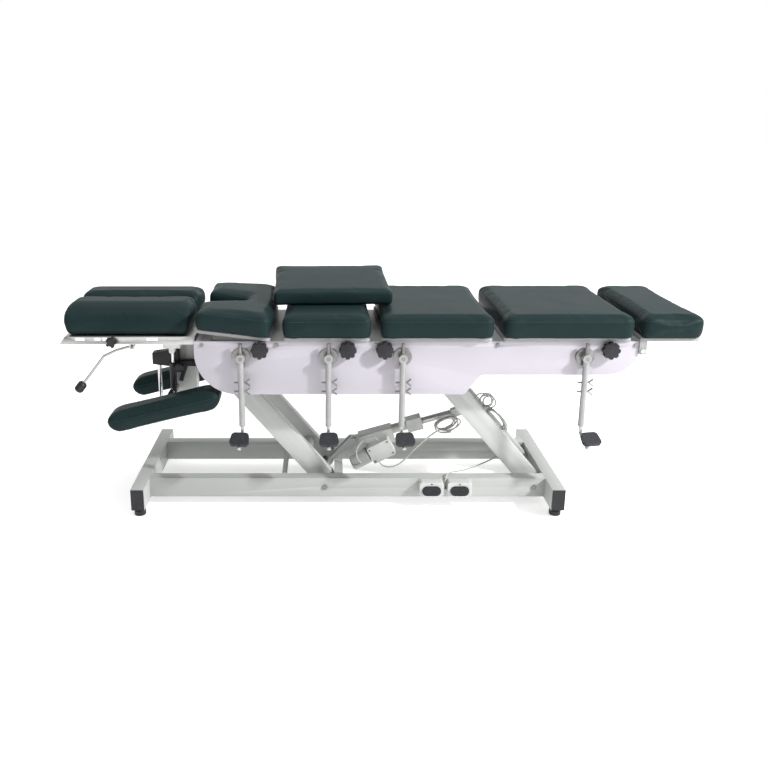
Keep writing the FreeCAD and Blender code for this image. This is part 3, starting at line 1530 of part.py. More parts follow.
def arm_coil():
    """The coil and the looser tangle below it, inside the front foot arm."""
    return [coiled("arm_coil", arm_coil_centre, arm_coil_half, arm_coil_short, arm_coil_turns,
                   arm_coil_lean, arm_coil_phase, arm_coil_drift, arm_coil_growth_share),
            coiled("tangle", tangle_centre, tangle_half_long, tangle_half_short, tangle_turns,
                   tangle_lean, tangle_phase, tangle_drift, tangle_growth_share)]


sections = ("chest", "abdominal", "pelvic", "leg")
cord_nodes = ("motor_cable", "actuator_lead", "rod_hank", "arm_coil", "switch_lead")


def all_nodes():
    """Every node's name with its list of separate solids."""
    nodes = {
        "base_frame": base_frame(),
        "base_cross_members": base_cross_members(),
        "base_end_caps": base_end_caps(),
        "levelling_feet": levelling_feet(),
        "lower_pivot_bolts": lower_pivot_bolts(),
        "foot_switch_housings": foot_switch_housings(),
        "foot_switch_pad_up": foot_switch_pad(switch_up_x),
        "foot_switch_pad_down": foot_switch_pad(switch_down_x),
        "head_lift_arm": head_lift_arm(),
        "foot_lift_arm": foot_lift_arm(),
        "actuator_body": actuator_body(),
        "actuator_rod": actuator_rod(),
        "control_box": control_box(),
        "upper_frame": upper_frame(),
        "upper_pivot_lugs": upper_pivot_lugs(),
        "side_panel_front": side_panel_front(),
        "side_panel_rear": side_panel_rear(),
        "lever_flanges": lever_flanges(),
        "panel_bolts": panel_bolts(),
        "chest_tray": chest_tray(),
        "abdominal_tray": [hinged_tray(abdominal_x0, abdominal_x1, abdominal_hinge_x)],
        "pelvic_tray": [hinged_tray(pelvic_x0, pelvic_x1, pelvic_hinge_x)],
        "leg_tray": [hinged_tray(leg_x0, leg_x1, leg_hinge_x)],
        "foot_tray": foot_tray(),
        "chest_cushion": chest_cushion(),
        "abdominal_cushion": cushion(abdominal_x0, abdominal_x1),
        "pelvic_cushion": cushion(pelvic_x0, pelvic_x1),
        "leg_cushion": cushion(leg_x0, leg_x1),
        "foot_cushion": cushion(foot_x0, foot_x1),
        "loose_pad": loose_pad(),
        "head_column": head_column(),
        "armrest_clamp": armrest_clamp(),
        "clamp_knob": clamp_knob(),
        "head_tray": head_tray(),
        "head_cushion_front": head_cushion_front(),
        "head_cushion_rear": head_cushion_rear(),
        "release_lever": release_lever(),
        "tray_star_knob": tray_star_knob(),
        "gas_spring_cylinder": gas_spring_cylinder(),
        "gas_spring_rod": gas_spring_rod(),
        "armrest_carrier": armrest_carrier(),
        "armrest_pad_front": armrest_pad_front(),
        "armrest_pad_rear": armrest_pad_rear(),
        "motor_cable": routed("motor_cable", motor_cable_route),
        "actuator_lead": routed("actuator_lead", actuator_lead_route),
        "rod_hank": rod_hank(),
        "arm_coil": arm_coil(),
        "switch_lead": routed("switch_lead", switch_lead_route),
    }
    for index, section in enumerate(sections):
        nodes["lever_" + section] = lever(index)
        nodes["pedal_" + section] = pedal(index)
        nodes["drop_knob_" + section] = drop_knob(index)
    return nodes


def centring(nodes):
    """The shift in X and Y that puts the origin under the middle of the object."""
    solids = [s for name, group in nodes.items() if name not in cord_nodes for s in group]
    bounds = Part.makeCompound(solids).optimalBoundingBox(False)
    return V(-bounds.Center.x, -bounds.Center.y, 0)


def export(nodes, shift):
    """Writes each node, as one solid or as a group of separate ones."""
    os.makedirs("parts", exist_ok=True)
    for name, solids in nodes.items():
        shape = solids[0] if len(solids) == 1 else Part.makeCompound(solids)
        shape = moved(shape, shift.x, shift.y, shift.z)
        if not shape.isValid() or len(shape.Solids) != len(solids):
            print(f"node {name}: valid {shape.isValid()}, solids {len(shape.Solids)} of {len(solids)}")
        shape.exportStep(f"parts/{name}.step")


nodes = all_nodes()
origin_shift = centring(nodes)
export(nodes, origin_shift)
print(f"{len(nodes)} nodes, origin shift {origin_shift.x:.2f} {origin_shift.y:.2f}")
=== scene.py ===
# %% [markdown]
# # A powered treatment table, dressed around its CAD frame
#
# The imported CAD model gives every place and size. This lesson dresses it: cords, painted
# steel, upholstery and small fittings. Each cell says what a piece is on the real table,
# how it could be made, and why this way was chosen. All lengths are in metres.

import json
import math
import bpy
import numpy as np
from mathutils import Matrix, Vector

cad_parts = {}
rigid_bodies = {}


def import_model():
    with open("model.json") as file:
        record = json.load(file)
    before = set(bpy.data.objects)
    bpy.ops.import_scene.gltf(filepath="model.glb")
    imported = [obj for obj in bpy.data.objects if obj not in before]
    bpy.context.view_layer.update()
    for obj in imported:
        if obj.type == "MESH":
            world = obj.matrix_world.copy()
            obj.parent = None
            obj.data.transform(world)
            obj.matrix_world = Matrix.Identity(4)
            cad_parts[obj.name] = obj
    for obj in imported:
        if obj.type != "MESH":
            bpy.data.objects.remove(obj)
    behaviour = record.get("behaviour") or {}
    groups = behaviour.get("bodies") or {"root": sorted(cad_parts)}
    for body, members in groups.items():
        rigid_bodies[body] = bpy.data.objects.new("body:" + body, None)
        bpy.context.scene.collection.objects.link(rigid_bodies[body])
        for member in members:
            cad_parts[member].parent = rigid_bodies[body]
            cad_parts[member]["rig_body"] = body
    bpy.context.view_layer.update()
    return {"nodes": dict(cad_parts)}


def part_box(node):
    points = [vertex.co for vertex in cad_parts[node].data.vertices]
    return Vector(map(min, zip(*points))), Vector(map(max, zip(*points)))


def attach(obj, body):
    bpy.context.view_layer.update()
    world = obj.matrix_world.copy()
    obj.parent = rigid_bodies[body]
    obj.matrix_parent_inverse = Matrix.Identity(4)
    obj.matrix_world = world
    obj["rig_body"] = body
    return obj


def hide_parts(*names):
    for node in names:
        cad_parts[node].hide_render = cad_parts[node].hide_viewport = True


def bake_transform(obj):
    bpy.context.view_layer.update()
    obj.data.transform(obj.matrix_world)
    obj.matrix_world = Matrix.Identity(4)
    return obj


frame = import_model()

# %% [markdown]
# ## Places
#
# The base is symmetric about the table's long axis, so the middle of its box gives the
# sideways shift between the drawing's millimetres and the frame's metres.

# %% Turn drawing millimetres into frame metres
base_low, base_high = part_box("base_frame")
SHIFT_Y = (base_low.y + base_high.y) / 2


def place(x, y, z):
    """A drawing point in millimetres as a frame point in metres."""
    return Vector((x / 1000, y / 1000 + SHIFT_Y, z / 1000))


print("shift", round(SHIFT_Y, 5))

# %% [markdown]
# ## Camera
#
# The photograph was taken from well back and above the top, looking down by 15 degrees.
# The lens axis was left of the middle of the frame, which the two shifts give.

# %% Place the camera
FRAME_PIXELS = 768
FOCAL_PIXELS = 830
SENSOR_MM = 36
AXIS_X, AXIS_Y = 326.77, 345.5
CAMERA_PITCH = 15.459
CAMERA_PLACE = place(-170, -2853.56, 1321.3)

bpy.ops.object.select_all(action="DESELECT")
bpy.ops.object.camera_add(location=CAMERA_PLACE,
                          rotation=(math.radians(90 - CAMERA_PITCH), 0, 0))
camera = bpy.context.object
camera.data.sensor_width = SENSOR_MM
camera.data.lens = FOCAL_PIXELS / FRAME_PIXELS * SENSOR_MM
camera.data.shift_x = 0.5 - AXIS_X / FRAME_PIXELS
camera.data.shift_y = AXIS_Y / FRAME_PIXELS - 0.5
bpy.context.scene.camera = camera
print("lens", round(camera.data.lens, 2), "mm")

# %% [markdown]
# ## Cords
#
# Thin grey cables hang about the lift, their spare length in loose turns. A cable is one
# smooth curve, so each is a NURBS spline whose control points are the route chosen for the
# drawing, made into a mesh tube. A tube could also be built ring by ring, but a spline keeps
# its bends even. The switch lead crosses a joint, but its tube stays fixed in the frame.

# %% Draw one cable
CORD_DIAMETER = 0.005


def cable(name, points, depth=CORD_DIAMETER / 2):
    """A NURBS curve through a route of control points."""
    data = bpy.data.curves.new(name, "CURVE")
    data.dimensions = "3D"
    spline = data.splines.new("NURBS")
    spline.points.add(len(points) - 1)
    for control, point in zip(spline.points, points):
        control.co = (*point, 1)
    spline.order_u = 3
    spline.use_endpoint_u = True
    spline.resolution_u = 6
    data.bevel_depth = depth
    data.bevel_resolution = 3
    data.use_fill_caps = True
    piece = bpy.data.objects.new(name, data)
    bpy.context.scene.collection.objects.link(piece)
    return piece


def line_of(name, points):
    """The points along a cable's centre line."""
    bare = cable(name, points, depth=0)
    mesh = bpy.data.meshes.new_from_object(bare)
    line = [v.co.copy() for v in mesh.vertices]
    bpy.data.objects.remove(bare)
    return line


def length_of(line):
    """The length of a line of points."""
    return sum((b - a).length for a, b in zip(line, line[1:]))


def tube(name, points):
    """A mesh tube round the same curve, whose box is its real one."""
    curve = cable(name + "_curve", points)
    piece = bpy.data.objects.new(name, bpy.data.meshes.new_from_object(curve))
    bpy.data.objects.remove(curve)
    bpy.context.scene.collection.objects.link(piece)
    return piece


# %% Wind the loose turns
TURN_POINTS = 14
COIL_PITCH = 6.3
LOOSE_SHARES = (0.0, 0.05, -0.04, 0.06, -0.02, 0.03)
RUFFLE_SHARES = ((0, 0), (0.24, -0.16), (-0.24, 0.12), (0.18, 0.20), (-0.22, -0.16), (0.2, 0.18))
RUFFLES_PER_TURN = 1.3
RUFFLE_ROOM = 8


def between(values, turn):
    """The value at a turn, sliding from one entry of a list to the next."""
    first, mix = int(turn) % len(values), turn - int(turn)
    mix *= mix * (3 - 2 * mix)
    return values[first] * (1 - mix) + values[(first + 1) % len(values)] * mix


def turns(centre, half_long, half_short, count, lean, phase, drift, growth_share):
    """Route points of a coil that climbs to the front, drifts along and grows as it goes."""
    points = []
    steps = TURN_POINTS * count
    angle = math.radians(lean)
    for i in range(steps + 1):
        done = i / steps - 0.5
        turn = i / TURN_POINTS
        size = 1 + growth_share * done + between(LOOSE_SHARES, turn)
        ruffle = between([Vector(pair) for pair in RUFFLE_SHARES], turn * RUFFLES_PER_TURN)
        ruffle *= min(half_long, half_short + RUFFLE_ROOM) * math.sin(math.pi * i / steps)
        t = 2 * math.pi * turn + math.radians(phase)
        x = half_long * size * math.sin(t) + drift * done + ruffle.x
        z = ruffle.y - half_short * size * math.cos(t)
        y = COIL_PITCH * (count / 2 - turn)
        points.append(place(centre[0] + x * math.cos(angle) + z * math.sin(angle), centre[1] + y,
                            centre[2] - x * math.sin(angle) + z * math.cos(angle)))
    return points


# %% Lay the cables along their routes
motor_route = [place(*p) for p in (
    (-46, -76.6, 116), (-48, -87, 118), (-60, -91, 133), (-66, -82, 157), (-57, -74, 180),
    (-36, -65, 197), (-10, -57, 206), (5, -50, 203), (15, -47, 188))]
lead_route = [place(*p) for p in (
    (18.4, -47, 110.5), (23.8, -48, 100.6), (36, -55, 92), (58, -62, 90), (82, -64, 97),
    (104, -64, 112), (124, -63, 134), (152, -60, 164), (181, -49, 186), (207, -35, 204),
    (232, -28.1, 218.5), (256, -28.1, 229.3))]
switch_route = [place(*p) for p in (
    (463.7, -67, 227.8), (475, -66, 220.5), (484, -63, 205), (484, -60, 181), (474, -60, 157),
    (452, -61, 136), (420, -64, 118), (385, -72, 106), (345, -90, 98), (308, -118, 101),
    (278, -143, 109), (259, -164, 115), (247, -186, 116), (242, -195, 100), (241, -193, 83),
    (241, -193, 67))]
hank_route = turns((262, -44, 250), 40, 22, 5, -18, 0, 12, 0.4)
coil_route = turns((398, -57.4, 344), 27, 24, 4, 25, 180, -34, 0.35)
tangle_route = turns((440, -54.4, 271), 50, 15, 4, 49.5, 45, 8, 0.2)

cables = {}
for name, route, body, node in (("motor_cable", motor_route, "actuator", "motor_cable"),
                                ("actuator_lead", lead_route, "actuator", "actuator_lead"),
                                ("rod_hank", hank_route, "actuator", "rod_hank"),
                                ("arm_coil", coil_route, "foot_arm", "arm_coil"),
                                ("arm_tangle", tangle_route, "foot_arm", "arm_coil")):
    piece = tube(name + "_dressed", route)
    line = line_of(name + "_line", route)
    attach(piece, body)
    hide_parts(node)
    cables[name] = piece

# %% Lay the switch lead, fixed in the frame
switch_line = line_of("switch_line", switch_route)
switch_lead = tube("switch_lead_dressed", switch_route)
tuple(place(345, -90, 98))
tuple(place(474, -60, 157))
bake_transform(switch_lead)
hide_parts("switch_lead")
cables["switch_lead"] = switch_lead
print("switch_lead length", round(length_of(switch_line), 4))

# %% [markdown]
# ## Studio
#
# The photograph shows the table on a white ground, with soft light from above and behind and
# a smaller lamp at the front right, which throws shadows down the panel to the left. So the
# lamp is a small area light. The sky is white behind and to the right, and dimmer at the
# front left, which keeps the fronts of the pads dark. A lone lamp would leave them black.

# %% Floor and lights
bpy.context.scene.view_settings.view_transform = "Standard"
bpy.ops.object.select_all(action="DESELECT")
bpy.ops.mesh.primitive_plane_add(size=60, location=(0, 0, 0))
floor = bpy.context.object
floor.name = "studio_floor"


def soft_light(name, location, target, size, power):
    """A square area light aimed at a point."""
    bpy.ops.object.select_all(action="DESELECT")
    bpy.ops.object.light_add(type="AREA", location=location)
    light = bpy.context.object
    light.name = name
    light.data.shape = "SQUARE"
    light.data.size = size
    light.data.energy = power
    light.rotation_mode = "QUATERNION"
    light.rotation_quaternion = (Vector(target) - Vector(location)).to_track_quat("-Z", "Y")
    return light


soft_light("key_light", (3.93, -2.34, 3.43), (0, -0.25, 0.55), 0.30, 350)
soft_light("top_light", (-0.3, 0.3, 4.2), (0, 0, 0.5), 3.5, 30)

# %% Sky that is dimmer at the front left
FRONT_STRENGTH, BACK_STRENGTH = 0.26, 1.0
BRIGHT_SIDE = (0.4, 0.72, 0.56)
DIM_FROM, BRIGHT_FROM = -0.5, 0.3
world = bpy.data.worlds.new("studio_world")
bpy.context.scene.world = world
world.use_nodes = True
ground = world.node_tree.nodes["Background"]
direction = world.node_tree.nodes.new("ShaderNodeTexCoord")
facing = world.node_tree.nodes.new("ShaderNodeVectorMath")
facing.operation = "DOT_PRODUCT"
facing.inputs[1].default_value = BRIGHT_SIDE
brightness = world.node_tree.nodes.new("ShaderNodeMapRange")
brightness.inputs["From Min"].default_value = DIM_FROM
brightness.inputs["From Max"].default_value = BRIGHT_FROM
brightness.inputs["To Min"].default_value = FRONT_STRENGTH
brightness.inputs["To Max"].default_value = BACK_STRENGTH
world.node_tree.links.new(direction.outputs["Generated"], facing.inputs[0])
world.node_tree.links.new(facing.outputs["Value"], brightness.inputs["Value"])
world.node_tree.links.new(brightness.outputs["Result"], ground.inputs["Strength"])
ground.inputs["Color"].default_value = (1, 1, 1, 1)
print("sky from", FRONT_STRENGTH, "to", BACK_STRENGTH)

# %% [markdown]
# ## Shader maths
#
# A finish is a small tree of nodes. Writing it as sums and products keeps it readable, so
# one class wraps a node's output and adds Math nodes for Python's operators, and one method
# adds any other node.


# %% Wrap a socket
class Value:
    """One output of a node, with the operators that the finishes use."""

    def __init__(self, finish, socket):
        self.finish, self.socket = finish, socket

    def _with(self, operation, first, second):
        return self.finish.node("ShaderNodeMath", {"operation": operation}, {0: first, 1: second})

    def __add__(self, other):
        return self._with("ADD", self, other)

    def __radd__(self, other):
        return self._with("ADD", other, self)

    def __mul__(self, other):
        return self._with("MULTIPLY", self, other)

    def __rmul__(self, other):
        return self._with("MULTIPLY", other, self)


class Finish:
    """A material under construction."""

    def __init__(self, name, **fixed):
        self.material = bpy.data.materials.new(name)
        self.material.use_nodes = True
        self.tree = self.material.node_tree
        self.shader = self.tree.nodes["Principled BSDF"]
        for socket, value in fixed.items():
            self.shader.inputs[socket.replace("_", " ")].default_value = value
        self.place = self.node("ShaderNodeTexCoord", {}, {}, "Object")

    def node(self, kind, settings, sockets, output=0):
        """Adds a node: its settings first, then the values or links of its sockets."""
        made = self.tree.nodes.new(kind)
        for name, value in settings.items():
            if name == "stops":
                ramp = made.color_ramp
                while len(ramp.elements) < len(value):
                    ramp.elements.new(0.5)
                for stop, (position, colour) in zip(ramp.elements, value):
                    stop.position = position
                    stop.color = (*colour, 1)
            else:
                setattr(made, name, value)
        for name, value in sockets.items():
            if isinstance(value, Value):
                self.tree.links.new(value.socket, made.inputs[name])
            else:
                made.inputs[name].default_value = value
        return Value(self, made.outputs[output])

    def noise(self, scale):
        """Cloudy variation from 0 to 1, about 1/scale metres across."""
        return self.node("ShaderNodeTexNoise", {}, {"Vector": self.place, "Scale": scale,
                                                    "Detail": 2.0})

    def cells(self, scale):
        """Pebbled variation, each cell about 1/scale metres across."""
        return self.node("ShaderNodeTexVoronoi", {}, {"Vector": self.place, "Scale": scale})

    def stretched(self, along, across, scale):
        """Fine streaks that run along the X axis."""
        spread = self.node("ShaderNodeVectorMath", {"operation": "MULTIPLY"},
                           {0: self.place, 1: [along if i == 0 else across for i in range(3)]})
        return self.node("ShaderNodeTexNoise", {}, {"Vector": spread, "Scale": scale,
                                                    "Detail": 3.0})

    def tint(self, amount, dark, light):
        """A colour between two, set by an amount, into the base colour."""
        stops = ((0.25, dark), (0.75, light))
        ramp = self.node("ShaderNodeValToRGB", {"stops": stops}, {0: amount})
        self.feed("Base Color", ramp)

    def feed(self, socket, value):
        """Links a value into the shader."""
        self.tree.links.new(value.socket, self.shader.inputs[socket])

    def relief(self, height, distance, strength=0.5):
        """Raises the surface by a height, in metres."""
        self.feed("Normal", self.node("ShaderNodeBump", {}, {"Height": height, "Distance": distance,
                                                             "Strength": strength}))


# %% [markdown]
# ## Finishes
#
# The upholstery is a dark green-black coated fabric with a fine pebbled grain and a soft
# gloss. The steel is powder coated, which leaves a slight orange peel. The panel reads a
# little violet beside the grey-green white of the frame. Flat colours would look like paper
# here, so every finish varies in tone, in gloss and, where it has a grain, in height.

# %% Upholstery and rubber
upholstery = Finish("green_black_upholstery", Specular_IOR_Level=0.07)
grain = upholstery.cells(850)
mottle = upholstery.noise(9)
upholstery.tint(mottle * 0.7 + grain * 0.3, (0.0095, 0.0205, 0.0212), (0.0130, 0.0260, 0.0268))
upholstery.feed("Roughness", mottle * 0.10 + 0.38)
upholstery.relief(grain * 0.8 + upholstery.noise(60) * 0.6, 0.00022, 0.45)

seam_cloth = Finish("seam_thread", Roughness=0.6, Specular_IOR_Level=0.3)
seam_cloth.tint(seam_cloth.noise(400), (0.007, 0.014, 0.015), (0.016, 0.030, 0.032))
seam_cloth.relief(seam_cloth.noise(900), 0.0002)

rubber = Finish("switch_rubber", Specular_IOR_Level=0.35)
rubber.tint(rubber.noise(120), (0.008, 0.009, 0.011), (0.020, 0.022, 0.026))
rubber.feed("Roughness", rubber.noise(200) * 0.15 + 0.58)
rubber.relief(rubber.noise(900), 0.0002, 0.4)

pedal_rubber = Finish("pebbled_pedal_rubber", Specular_IOR_Level=0.4)
pebbles = pedal_rubber.cells(260)
pedal_rubber.tint(pebbles, (0.006, 0.007, 0.009), (0.026, 0.028, 0.033))
pedal_rubber.feed("Roughness", pedal_rubber.noise(200) * 0.15 + 0.50)
pedal_rubber.relief(pebbles, 0.0012, 0.7)


# %% Painted steel
def enamel(name, dark, light, roughness):
    """Powder coat: two close tones, an orange peel relief and slightly uneven gloss."""
    finish = Finish(name, Specular_IOR_Level=0.45)
    cloud = finish.noise(5)
    peel = finish.noise(750)
    finish.tint(cloud * 0.8 + peel * 0.2, dark, light)
    finish.feed("Roughness", cloud * 0.10 + roughness)
    finish.relief(peel, 0.00010, 0.35)
    return finish


# The base's enamel is a darker copy of the frame's white paint: painted shade for the shadow the
# table top casts on the base.
painted_shade_base_enamel = enamel("painted_shade_base_enamel", (0.365, 0.377, 0.361), (0.405, 0.417, 0.401), 0.34)
frame_enamel = enamel("frame_enamel", (0.45, 0.463, 0.445), (0.50, 0.513, 0.495), 0.34)
panel_enamel = enamel("panel_enamel", (0.43, 0.408, 0.452), (0.46, 0.438, 0.482), 0.36)
tray_enamel = enamel("tray_enamel", (0.30, 0.30, 0.30), (0.36, 0.36, 0.36), 0.40)

# %% Bare and plated metal
bright_steel = Finish("bright_steel", Metallic=1.0)
bright_steel.tint(bright_steel.noise(30), (0.55, 0.55, 0.54), (0.70, 0.70, 0.69))
bright_steel.feed("Roughness", bright_steel.noise(60) * 0.10 + 0.14)

dark_steel = Finish("dark_steel", Metallic=1.0)
dark_steel.tint(dark_steel.noise(40), (0.16, 0.15, 0.15), (0.26, 0.25, 0.24))
dark_steel.feed("Roughness", dark_steel.noise(80) * 0.15 + 0.28)

lever_chrome = Finish("satin_lever_chrome", Metallic=0.25)
lever_chrome.tint(lever_chrome.noise(25), (0.28, 0.28, 0.28), (0.34, 0.34, 0.34))
lever_chrome.feed("Roughness", lever_chrome.noise(70) * 0.08 + 0.25)

flange_steel = Finish("turned_flange_steel", Metallic=0.8)
flange_steel.tint(flange_steel.noise(60), (0.17, 0.17, 0.165), (0.26, 0.26, 0.255))
flange_steel.feed("Roughness", flange_steel.noise(90) * 0.10 + 0.26)

brushed_steel = Finish("brushed_steel", Metallic=1.0)
streak = brushed_steel.stretched(0.03, 1.0, 1400)
brushed_steel.tint(streak, (0.38, 0.38, 0.37), (0.56, 0.56, 0.55))
brushed_steel.feed("Roughness", streak * 0.15 + 0.30)
brushed_steel.relief(streak, 0.00005, 0.3)

cast_alloy = Finish("cast_alloy", Metallic=0.35)
cast_alloy.tint(cast_alloy.noise(25), (0.38, 0.39, 0.37), (0.48, 0.49, 0.47))
cast_alloy.feed("Roughness", cast_alloy.noise(90) * 0.2 + 0.42)
cast_alloy.relief(cast_alloy.noise(600), 0.00015, 0.4)

# %% Plastics
black_plastic = Finish("black_plastic", Specular_IOR_Level=0.4)
black_plastic.tint(black_plastic.noise(50), (0.006, 0.006, 0.008), (0.014, 0.014, 0.018))
black_plastic.feed("Roughness", black_plastic.noise(150) * 0.12 + 0.38)
black_plastic.relief(black_plastic.noise(1200), 0.00008, 0.3)

grey_plastic = Finish("grey_plastic", Specular_IOR_Level=0.45)
grey_plastic.tint(grey_plastic.noise(30), (0.47, 0.48, 0.47), (0.54, 0.55, 0.54))
grey_plastic.feed("Roughness", grey_plastic.noise(120) * 0.12 + 0.34)
grey_plastic.relief(grey_plastic.noise(1000), 0.00008, 0.3)

cable_jacket = Finish("cable_jacket", Specular_IOR_Level=0.4)
cable_jacket.tint(cable_jacket.noise(70), (0.36, 0.37, 0.35), (0.47, 0.48, 0.46))
cable_jacket.feed("Roughness", cable_jacket.noise(150) * 0.12 + 0.40)

floor_paint = Finish("floor_paint", Roughness=0.7, Specular_IOR_Level=0.1)
floor_paint.tint(floor_paint.noise(2), (0.90, 0.90, 0.90), (0.92, 0.92, 0.92))
floor_paint.shader.inputs["Emission Color"].default_value = (1, 1, 1, 1)
floor_paint.shader.inputs["Emission Strength"].default_value = 0.42
floor.data.materials.append(floor_paint.material)
for piece in cables.values():
    piece.data.materials.append(cable_jacket.material)

# %% [markdown]
# ## Finishes on the CAD nodes
#
# A CAD node whose shape is right stays, and only needs its real finish. A table from node to
# finish is the simplest way, because a finish is then shared and changed in one place.

# %% Give every node a finish
NODE_FINISH = {
    "base_frame": painted_shade_base_enamel, "base_cross_members": painted_shade_base_enamel,
    "base_end_caps": black_plastic, "levelling_feet": black_plastic,
    "lower_pivot_bolts": dark_steel, "foot_switch_housings": grey_plastic,
    "foot_switch_pad_up": rubber, "foot_switch_pad_down": rubber,
    "head_lift_arm": frame_enamel, "foot_lift_arm": frame_enamel,
    "actuator_body": cast_alloy, "actuator_rod": brushed_steel, "control_box": grey_plastic,
    "upper_frame": frame_enamel, "upper_pivot_lugs": frame_enamel,
    "side_panel_front": panel_enamel, "side_panel_rear": panel_enamel,
    "lever_flanges": flange_steel, "panel_bolts": flange_steel,
    "chest_tray": tray_enamel, "abdominal_tray": tray_enamel, "pelvic_tray": tray_enamel,
    "leg_tray": tray_enamel, "foot_tray": tray_enamel, "head_column": frame_enamel,
    "armrest_clamp": black_plastic, "clamp_knob": black_plastic, "head_tray": brushed_steel,
    "release_lever": brushed_steel, "tray_star_knob": black_plastic,
    "gas_spring_cylinder": black_plastic, "gas_spring_rod": bright_steel,
    "armrest_carrier": bright_steel}
for section in ("chest", "abdominal", "pelvic", "leg"):
    NODE_FINISH["lever_" + section] = lever_chrome
    NODE_FINISH["pedal_" + section] = pedal_rubber
    NODE_FINISH["drop_knob_" + section] = black_plastic
for node, finish in NODE_FINISH.items():
    shown = frame["nodes"][node]
    shown.data.materials.clear()
    shown.data.materials.append(finish.material)
print(len(NODE_FINISH), "nodes finished of", len(frame["nodes"]))


# %% [markdown]
# A few nodes are made of two materials on the real table: a pedal's steel shaft and its
# rubber pad, a lever's satin tube and its dark rod and wing screws, a release rod and its
# plastic knob, a control box and its screws. Their faces could be picked by hand, but
# a rule on place picks them again after the drawing changes.

# %% Paint some faces differently
LEVER_PLACES = {"chest": -451.6, "abdominal": -164.3, "pelvic": 79.0, "leg": 677.0}
PEDAL_TURNS = {"chest": -6, "abdominal": 2, "pelvic": 6, "leg": 10}
LEVER_Y, LEVER_Z = -257.1, 560
PEDAL_BEND_Z, PEDAL_SLOPE, PEDAL_FOOT = 303, 32, 70
SHAFT_RADIUS, TUBE_RADIUS = 0.0066, 0.0103
HUB_TOP, SCREW_DROP = 14.5, 0.06
BOX_FACE_Y = -66.3


def repaint(piece, finish, chosen):
    """Gives another finish to the faces whose centre passes a test."""
    piece.data.materials.append(finish.material)
    index = len(piece.data.materials) - 1
    count = 0
    for face in piece.data.polygons:
        if chosen(face.center):
            face.material_index = index
            count += 1
    print(piece.name, "repainted faces", count)


def near_line(start, end, reach):
    """A test for points within reach of the straight line from start to end."""
    span = end - start

    def near(point):
        along = min(max((point - start).dot(span) / span.length_squared, 0), 1)
        return (start + span * along - point).length < reach
    return near


for section, x in LEVER_PLACES.items():
    bend = place(x, LEVER_Y, PEDAL_BEND_Z)
    slope, turn = math.radians(PEDAL_SLOPE), math.radians(PEDAL_TURNS[section])
    along = Vector((math.sin(turn) * math.cos(slope), -math.cos(turn) * math.cos(slope),
                    -math.sin(slope)))
    upright = near_line(place(x, LEVER_Y, LEVER_Z), bend, SHAFT_RADIUS)
    foot = near_line(bend, bend + along * PEDAL_FOOT / 1000, SHAFT_RADIUS)
    repaint(frame["nodes"]["pedal_" + section], brushed_steel, lambda c: upright(c) or foot(c))
    rod_foot = place(x, LEVER_Y, LEVER_Z + HUB_TOP)
    repaint(frame["nodes"]["lever_" + section], dark_steel,
            lambda c: c.z > rod_foot.z or (abs(c.x - rod_foot.x) > TUBE_RADIUS
                                           and c.z < rod_foot.z - SCREW_DROP))
repaint(frame["nodes"]["control_box"], dark_steel, lambda c: c.y < place(0, BOX_FACE_Y, 0).y)
KNOB_TOP, KNOB_AXIS = place(-988.5, -190, 455), Vector((-0.621, 0, -0.784))
KNOB_MARGIN = 0.0005
repaint(frame["nodes"]["release_lever"], black_plastic,
        lambda c: (c - KNOB_TOP).dot(KNOB_AXIS) > -KNOB_MARGIN)


# %% [markdown]
# ## Rounded edges
#
# Real tube, castings and mouldings have no knife edges, and an edge only shows a highlight
# when it is rounded. The CAD shape is copied, its doubled points are merged, its flat faces
# are joined, and a Bevel modifier rounds what is left.


# %% Copy and soften a node
MERGE_WITHIN, FLAT_WITHIN = 0.00001, math.radians(0.5)
ROUND_FROM, SMOOTH_BELOW = math.radians(42), math.radians(38)


def start_on(piece):
    """Makes one piece the only selected and active object."""
    bpy.ops.object.select_all(action="DESELECT")
    piece.select_set(True)
    bpy.context.view_layer.objects.active = piece


def merged_copy(node, name):
    """A copy of a node's mesh with its doubled points merged and flat faces joined."""
    piece = bpy.data.objects.new(name, frame["nodes"][node].data.copy())
    bpy.context.scene.collection.objects.link(piece)
    start_on(piece)
    bpy.ops.object.mode_set(mode="EDIT")
    bpy.ops.mesh.select_all(action="SELECT")
    bpy.ops.mesh.remove_doubles(threshold=MERGE_WITHIN)
    bpy.ops.mesh.dissolve_limited(angle_limit=FLAT_WITHIN)
    bpy.ops.object.mode_set(mode="OBJECT")
    return piece


def softened(node, width):
    """A node with rounded edges, in the node's finish, which stands for the node."""
    piece = merged_copy(node, node + "_soft")
    bevel = piece.modifiers.new("round", "BEVEL")
    bevel.width = width
    bevel.segments = 2
    bevel.limit_method = "ANGLE"
    bevel.angle_limit = ROUND_FROM
    bevel.use_clamp_overlap = True
    bpy.ops.object.modifier_apply(modifier=bevel.name)
    bpy.ops.object.shade_smooth_by_angle(angle=SMOOTH_BELOW)
    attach(piece, frame["nodes"][node]["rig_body"])
    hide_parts(node)
    return piece


for node, width in (("base_frame", 0.0025), ("head_lift_arm", 0.0025), ("foot_lift_arm", 0.0025),
                    ("side_panel_front", 0.0008), ("side_panel_rear", 0.0008),
                    ("drop_knob_chest", 0.0018), ("drop_knob_abdominal", 0.0018),
                    ("drop_knob_pelvic", 0.0018), ("drop_knob_leg", 0.0018),
                    ("tray_star_knob", 0.0015), ("clamp_knob", 0.002), ("head_column", 0.002),
                    ("head_tray", 0.0008), ("foot_tray", 0.001), ("actuator_rod", 0.001),
                    ("armrest_clamp", 0.002), ("upper_pivot_lugs", 0.001)):
    piece = softened(node, width)
    print(piece.name, len(piece.data.polygons), "faces")

# %% [markdown]
# A small dark arrow on each switch housing says which pad raises the table. It is a printed
# film on the real switch. A colour mask could draw it, but a thin triangle on the housing's
# face keeps a crisp edge at any distance.

